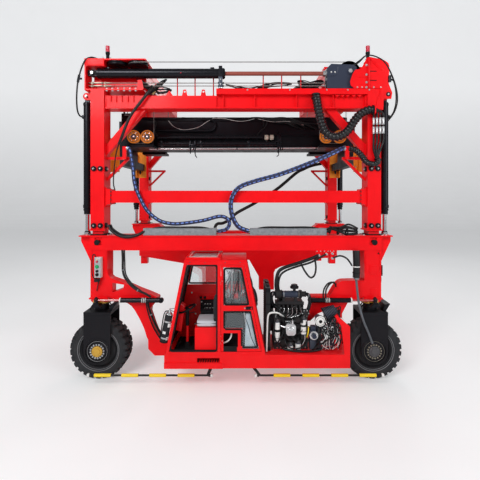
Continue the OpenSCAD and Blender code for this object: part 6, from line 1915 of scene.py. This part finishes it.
hose.tube([(2.56, -1.9, 2.765), (2.56, -1.92, 2.6), (2.56, -1.93, 2.4), (2.545, -1.95, 2.19)], 0.074,
          20, 7, 0.004, 0.04)
hose.done()
for name, key, z, r, w in (("sleeve_band", "white", 2.43, 0.081, 0.022),
                           ("sleeve_band_low", "seal", 2.3, 0.08, 0.03),
                           ("sleeve_end", "zinc", 2.185, 0.06, 0.04)):
    Piece(name, NEAR, key).ring((2.553, -1.935, z), UP, r, 0.03, w, 36).done()

# Spiral hose from the beam to the right wheel
path = spline(((2.545, -1.95, 2.17), (2.565, -1.97, 1.9), (2.6, -2.0, 1.6), (2.68, -2.02, 1.3),
               (2.79, -1.99, 1.05), (2.895, -1.93, 0.8)), 8)
wheel_hose = Piece("wheel_hose", None, "spiral")
wheel_hose.tube(path, 0.024, 14, 0, 0.0022, 0.02)
obj = wheel_hose.done()
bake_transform(obj)

# Right leg: cable box, pads, and dark discs on the beam ends painted as the shade inside their holes
leg = Piece("leg_pads", NEAR, "red", y=NEAR_Y)
for x0, z0, z1 in ((2.87, 2.24, 2.44), (2.88, 1.74, 1.94)):
    leg.box((x0, -0.2, z0), (x0 + 0.15, -0.189, z1), 0.004)
for s in (-1, 1):
    for x in (2.79, 3.09):
        leg.box((s * x - 0.008, -0.202, 2.3), (s * x + 0.008, -0.19, 2.74), 0.003)
leg.done()
plug = Piece("beam_hole_shade_and_cable_box", NEAR, "seal")
# Black discs over the beam ends' holes: painted shade inside the holes
for s in (-1, 1):
    plug.lathe((s * LEG_X, NEAR_Y - 0.221, 2.93), FRONT,
               [(0, 0.06), (0.004, 0.06), (0.008, 0.052), (0.01, 0.02)], 32)
plug.box((3.122, -1.78, 2.2), (3.17, -1.66, 2.43), 0.01)
plug.tube([(3.145, -1.72, 2.2), (3.15, -1.72, 2.1), (3.13, -1.73, 1.95), (3.128, -1.74, 1.8)], 0.014, 10, 6)
plug.tube([(3.145, -1.72, 2.43), (3.15, -1.71, 2.52), (3.135, -1.7, 2.62),
           (3.05, -1.85, 2.7)], 0.014, 10, 6)
plug.done()

# Far side: the plain black hose between the gantry and the far frame's top
FAR_ROUTE = [(2.815, 0.06, 4.99), (2.7, 0.08, 5.0), (2.5, 0.12, 4.97), (2.29, 0.15, 4.91),
             (2.1, 0.19, 4.82), (1.88, 0.22, 4.7), (1.263, 0.22, 4.186), (0.545, 0.22, 3.73),
             (-0.04, 0.22, 3.41), (-0.27, 0.21, 3.2), (-0.49, 0.17, 3.08), (-0.66, 0.13, 3.06),
             (-0.74, 0.12, 2.98), (-0.75, 0.12, 2.865)]
path = spline([(x, FAR_Y + dy, z) for x, dy, z in FAR_ROUTE], 10)
far_hose = Piece("far_hose", None, "hose")
far_hose.tube(path, 0.05, 16, 0)
obj = far_hose.done()
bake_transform(obj)
clip = Piece("far_hose_ends", "far_chassis", "zinc")
clip.ring((-0.75, FAR_Y + 0.12, 2.866), UP, 0.075, 0.045, 0.03, 32)
clip.bolts(around((-0.75, FAR_Y + 0.12, 2.881), UP, 0.064, 6), UP, 0.006)
clip.done()


# Black gaskets round each mast's foot on the chassis top; their black is also painted shade at the mast's
# base under the sleeve
def mast_foot(y, body_low):
    gasket_shade = Piece("mast_gasket_shade_%d" % (y * 10), body_low, "seal")
    bolt = Piece("mast_foot_bolts_%d" % (y * 10), body_low, "steel")
    for s in (-1, 1):
        x = s * LEG_X
        for ya, yb in ((y - 0.175, y - 0.14), (y + 0.14, y + 0.175)):
            gasket_shade.box((x - 0.155, ya, 3.081), (x + 0.155, yb, 3.105), 0.004)
        for xa, xb in ((x - 0.155, x - 0.115), (x + 0.115, x + 0.155)):
            gasket_shade.box((xa, y - 0.14, 3.081), (xb, y + 0.14, 3.105), 0.004)
        bolt.bolts([(x + dx, y + dy, 3.081) for dx in (-0.2, 0.2) for dy in (-0.12, 0, 0.12)], UP, 0.016)
    gasket_shade.done()
    bolt.done()


mast_foot(NEAR_Y, NEAR)
mast_foot(FAR_Y, FAR)

# Spreader: tubes, pads, brackets, hoses and lines on its near side
SPR_Y = MID_Y - 0.5
SPR_FACE = SPR_Y - 0.001
RAM_Y, RAM_Z = -0.36, 5.42
LOW_RAM_Y, LOW_RAM_Z = -0.34, 5.27
Piece("spreader_tubes", "spreader", "silver").tube([(-2.2, -0.4, 5.12), (0, -0.4, 5.13), (2.1, -0.4, 5.15)],
        0.02, 12, 6).done()
tube = Piece("spreader_rams", "spreader", "gloss_black")
tube.cyl((-1.98, RAM_Y, RAM_Z), (0.66, RAM_Y, RAM_Z), 0.042, 24)
tube.cyl((-2.0, LOW_RAM_Y, LOW_RAM_Z), (1.0, LOW_RAM_Y, LOW_RAM_Z), 0.055, 24)
for x in (-1.98, -1.2, -0.4, 0.4):
    tube.ring((x, RAM_Y, RAM_Z), RIGHT, 0.052, 0.03, 0.05, 28)
for x in (-1.6, -0.8, 0.1, 0.9):
    tube.ring((x, LOW_RAM_Y, LOW_RAM_Z), RIGHT, 0.064, 0.04, 0.05, 28)
for x in (-1.9, -0.9, 0.3):
    tube.box((x - 0.03, -0.4, 5.2), (x + 0.03, SPR_FACE, 5.34), 0.005)
    tube.box((x - 0.02, -0.38, 5.38), (x + 0.02, SPR_FACE, 5.46), 0.005)
for x in (-2.0, -1.1, 0.0, 1.15, 2.0):
    tube.box((x - 0.012, -0.42, 5.09), (x + 0.012, SPR_FACE, 5.16), 0.003)
tube.box((1.02, -0.44, 5.02), (1.06, -0.42, 5.56), 0.004)
tube.box((1.02, -0.44, 5.5), (1.14, -0.42, 5.54), 0.004)
tube.box((0.98, -0.42, 5.3), (1.14, SPR_FACE, 5.33), 0.004)
tube.box((1.08, -0.44, 5.08), (1.11, -0.42, 5.5), 0.004)
tube.tube([(1.04, -0.43, 5.05), (1.05, -0.43, 4.97), (1.0, -0.43, 4.93)], 0.012, 10, 5)
tube.box((-1.2, -0.45, 5.18), (-1.02, -0.43, 5.24), 0.004)
for x in (-1.17, -1.05):
    tube.box((x - 0.014, -0.45, 5.0), (x + 0.014, -0.43, 5.33), 0.004)
tube.tube([(-1.05, -0.44, 5.02), (-1.04, -0.44, 4.95), (-1.0, -0.44, 4.9)], 0.012, 10, 5)
tube.done()
pads = Piece("ram_pads", "spreader", "cream")
for x in (0.7, 0.83):
    pads.lathe((x, RAM_Y, RAM_Z), RIGHT, [(0, 0.045), (0.01, 0.064), (0.09, 0.064), (0.1, 0.045)], 28)
pads.done()
loop = Piece("spreader_guard", "spreader", "black")
loop.tube([(-2.1, -0.29, 5.62), (-1.5, -0.3, 5.6), (-0.8, -0.3, 5.6), (-0.63, -0.3, 5.62),
           (-0.56, -0.3, 5.7), (-0.56, -0.3, 5.8), (-0.64, -0.3, 5.88), (-0.9, -0.3, 5.89)], 0.036, 14, 8)
loop.box((-2.3, -0.275, 5.86), (2.3, SPR_FACE, 5.9), 0.006)
loop.box((-2.3, -0.275, 5.2), (2.3, SPR_FACE, 5.24), 0.006)
loop.done()
thin = Piece("spreader_hoses", "spreader", "hose")
rnd = random.Random(8)
for k in range(12):
    x0 = 0.35 + 0.06 * k
    z0 = 5.935 - 0.012 * (k % 5)
    thin.tube([(x0, -0.3, z0), (x0 + 0.3, -0.32, z0 - rnd.uniform(0, 0.05)),
               (x0 + 0.7, -0.33, z0 - rnd.uniform(0.05, 0.14)), (x0 + 1.0, -0.31,
               z0 - rnd.uniform(0.1, 0.22)), (x0 + 1.15, SPR_Y, z0 - 0.24)],
               rnd.choice((0.009, 0.012, 0.016)), 8, 6)
thin.tube([(0.75, -0.3, 5.93), (0.76, -0.33, 5.8), (0.7, -0.34, 5.68), (0.6, -0.34, 5.58),
           (0.52, -0.33, 5.5), (0.52, -0.34, 5.44)], 0.014, 10, 6)
thin.tube([(-2.2, -0.3, 5.9), (-2.05, -0.32, 5.8), (-2.1, -0.33, 5.6), (-2.0, -0.34, 5.45)], 0.014, 10, 6)
for x0, x1, z in ((-2.1, -1.4, 5.93), (-1.4, -0.5, 5.94), (-0.5, 0.1, 5.935)):
    thin.tube([(x0, -0.29, z), ((x0 + x1) / 2, -0.3, z - 0.03), (x1, -0.29, z)], 0.012, 8, 6)
thin.box((0.66, -0.33, 5.72), (0.69, SPR_Y, 5.93), 0.004)
thin.box((0.4, -0.33, 5.9), (0.8, -0.3, 5.93), 0.004)
thin.done()
pale = Piece("spreader_lines", "spreader", "white")
pale.tube([(-1.75, -0.31, 5.86), (-1.6, -0.33, 5.7), (-1.35, -0.33, 5.62), (-1.0, -0.33, 5.68),
           (-0.8, -0.33, 5.8), (-0.6, -0.32, 5.92)], 0.0045, 8, 7)
pale.tube([(-0.6, -0.32, 5.92), (-0.3, -0.33, 5.9), (0.0, -0.33, 5.84), (0.25, -0.33, 5.85),
           (0.5, -0.32, 5.92)], 0.0045, 8, 7)
pale.tube([(0.5, -0.32, 5.91), (0.9, -0.34, 5.82), (1.3, -0.34, 5.83), (1.7, -0.32, 5.74)], 0.004, 8, 7)
pale.done()
cap = Piece("sheave_caps", "spreader", "silver")
ring = Piece("sheave_rings", "spreader", "dark_steel")
for sx in (-1, 1):
    for dx in (-SHEAVE_DX, SHEAVE_DX):
        for sy in (-1, 1):
            c = Vector((sx * SHEAVE_MID + dx, MID_Y + sy * SHEAVE_Y, SHEAVE_Z))
            for side in (-1, 1):
                face = c + Vector((0, side * 0.03, 0))
                cap.lathe(face, (0, side, 0), [(0, 0.036), (0.014, 0.034), (0.018, 0.02)], 20)
                ring.ring(face, BACK, 0.066, 0.036, 0.016, 32)
                ring.ring(face - Vector((0, side * 0.004, 0)), BACK, 0.128, 0.118, 0.012, 40)
                cap.bolts(around(face, (0, side, 0), 0.092, 6), (0, side, 0), 0.01)
cap.done()
ring.done()
guide = Piece("guide_bolts", "spreader", "steel")
plate = Piece("guide_plates", "spreader", "orange")
for sx in (-1, 1):
    for sy in (-1, 1):
        y = MID_Y + sy * 1.2395
        for z in (4.62, 4.86, 5.1, 5.24):
            guide.bolts([(sx * x, y + sy * 0.012, z) for x in (2.82, 3.0)], (0, sy, 0), 0.013)
        y0, y1 = (y - 0.03, y - 0.012) if sy < 0 else (y + 0.008, y + 0.03)
        plate.box((sx * 2.91 - 0.012, y0, 4.52), (sx * 2.91 + 0.012, y1, 5.28), 0.003)
guide.done()
plate.done()


# Floor, backdrop and lights
def studio():
    n = Nodes("floor_paper")
    n.colour(n.ramp(n.noise(0.4), [(0.3, (0.8, 0.8, 0.8)), (0.7, (0.84, 0.84, 0.84))]))
    n.put(Roughness=0.9)
    eye = n.new("ShaderNodeLightPath")
    seen = n.math("MAXIMUM", eye.outputs["Is Camera Ray"], eye.outputs["Is Transmission Ray"])
    n.bsdf.inputs["Emission Color"].default_value = (0.86, 0.87, 0.88, 1)
    climb = n.math("MULTIPLY_ADD", n.math("MULTIPLY", n.axis(2), 0.05, True), 0.3)
    climb.node.inputs[2].default_value = 0.27
    n.link(n.math("MULTIPLY", seen, climb), n.bsdf.inputs["Emission Strength"])
    bm = bmesh.new()
    half, far, rise, radius = 60.0, 45.0, 40.0, 8.0
    profile = [(-60.0, 0.0), (far - radius, 0.0)]
    profile += [(far - radius + radius * math.sin(a), radius - radius * math.cos(a))
                for a in [math.pi / 2 * i / 12 for i in range(1, 13)]]
    profile.append((far, rise))
    rows = [[bm.verts.new((x, y, z)) for x in (-half, half)] for y, z in profile]
    for low, high in zip(rows, rows[1:]):
        bm.faces.new((low[0], low[1], high[1], high[0]))
    mesh = bpy.data.meshes.new("floor")
    bm.to_mesh(mesh)
    floor = bpy.data.objects.new("floor", mesh)
    floor.data.materials.append(n.mat)
    bpy.context.scene.collection.objects.link(floor)

    world = bpy.data.worlds.new("studio")
    bpy.context.scene.world = world
    world.use_nodes = True
    tree = world.node_tree
    back = tree.nodes["Background"]
    back.inputs["Color"].default_value = (0.95, 0.97, 1.0, 1)
    path = tree.nodes.new("ShaderNodeLightPath")
    strength = tree.nodes.new("ShaderNodeMix")
    tree.links.new(path.outputs["Is Camera Ray"], strength.inputs[0])
    strength.inputs[2].default_value = 0.38
    strength.inputs[3].default_value = 0.9
    tree.links.new(strength.outputs[0], back.inputs["Strength"])

    def lamp(name, place, aim, size, power):
        data = bpy.data.lights.new(name, "AREA")
        data.size = size
        data.energy = power
        light = bpy.data.objects.new(name, data)
        light.location = place
        light.rotation_euler = (Vector(aim) - Vector(place)).to_track_quat("-Z", "Y").to_euler()
        bpy.context.scene.collection.objects.link(light)

    lamp("key", (-8, -17, 13), (0, 0, 3.5), 8, 2300)
    lamp("fill", (13, -13, 8), (0, 0, 3), 10, 900)
    lamp("back", (3, 14, 14), (0, 0, 4), 9, 700)


studio()


bpy.context.scene.view_settings.view_transform = "Standard"
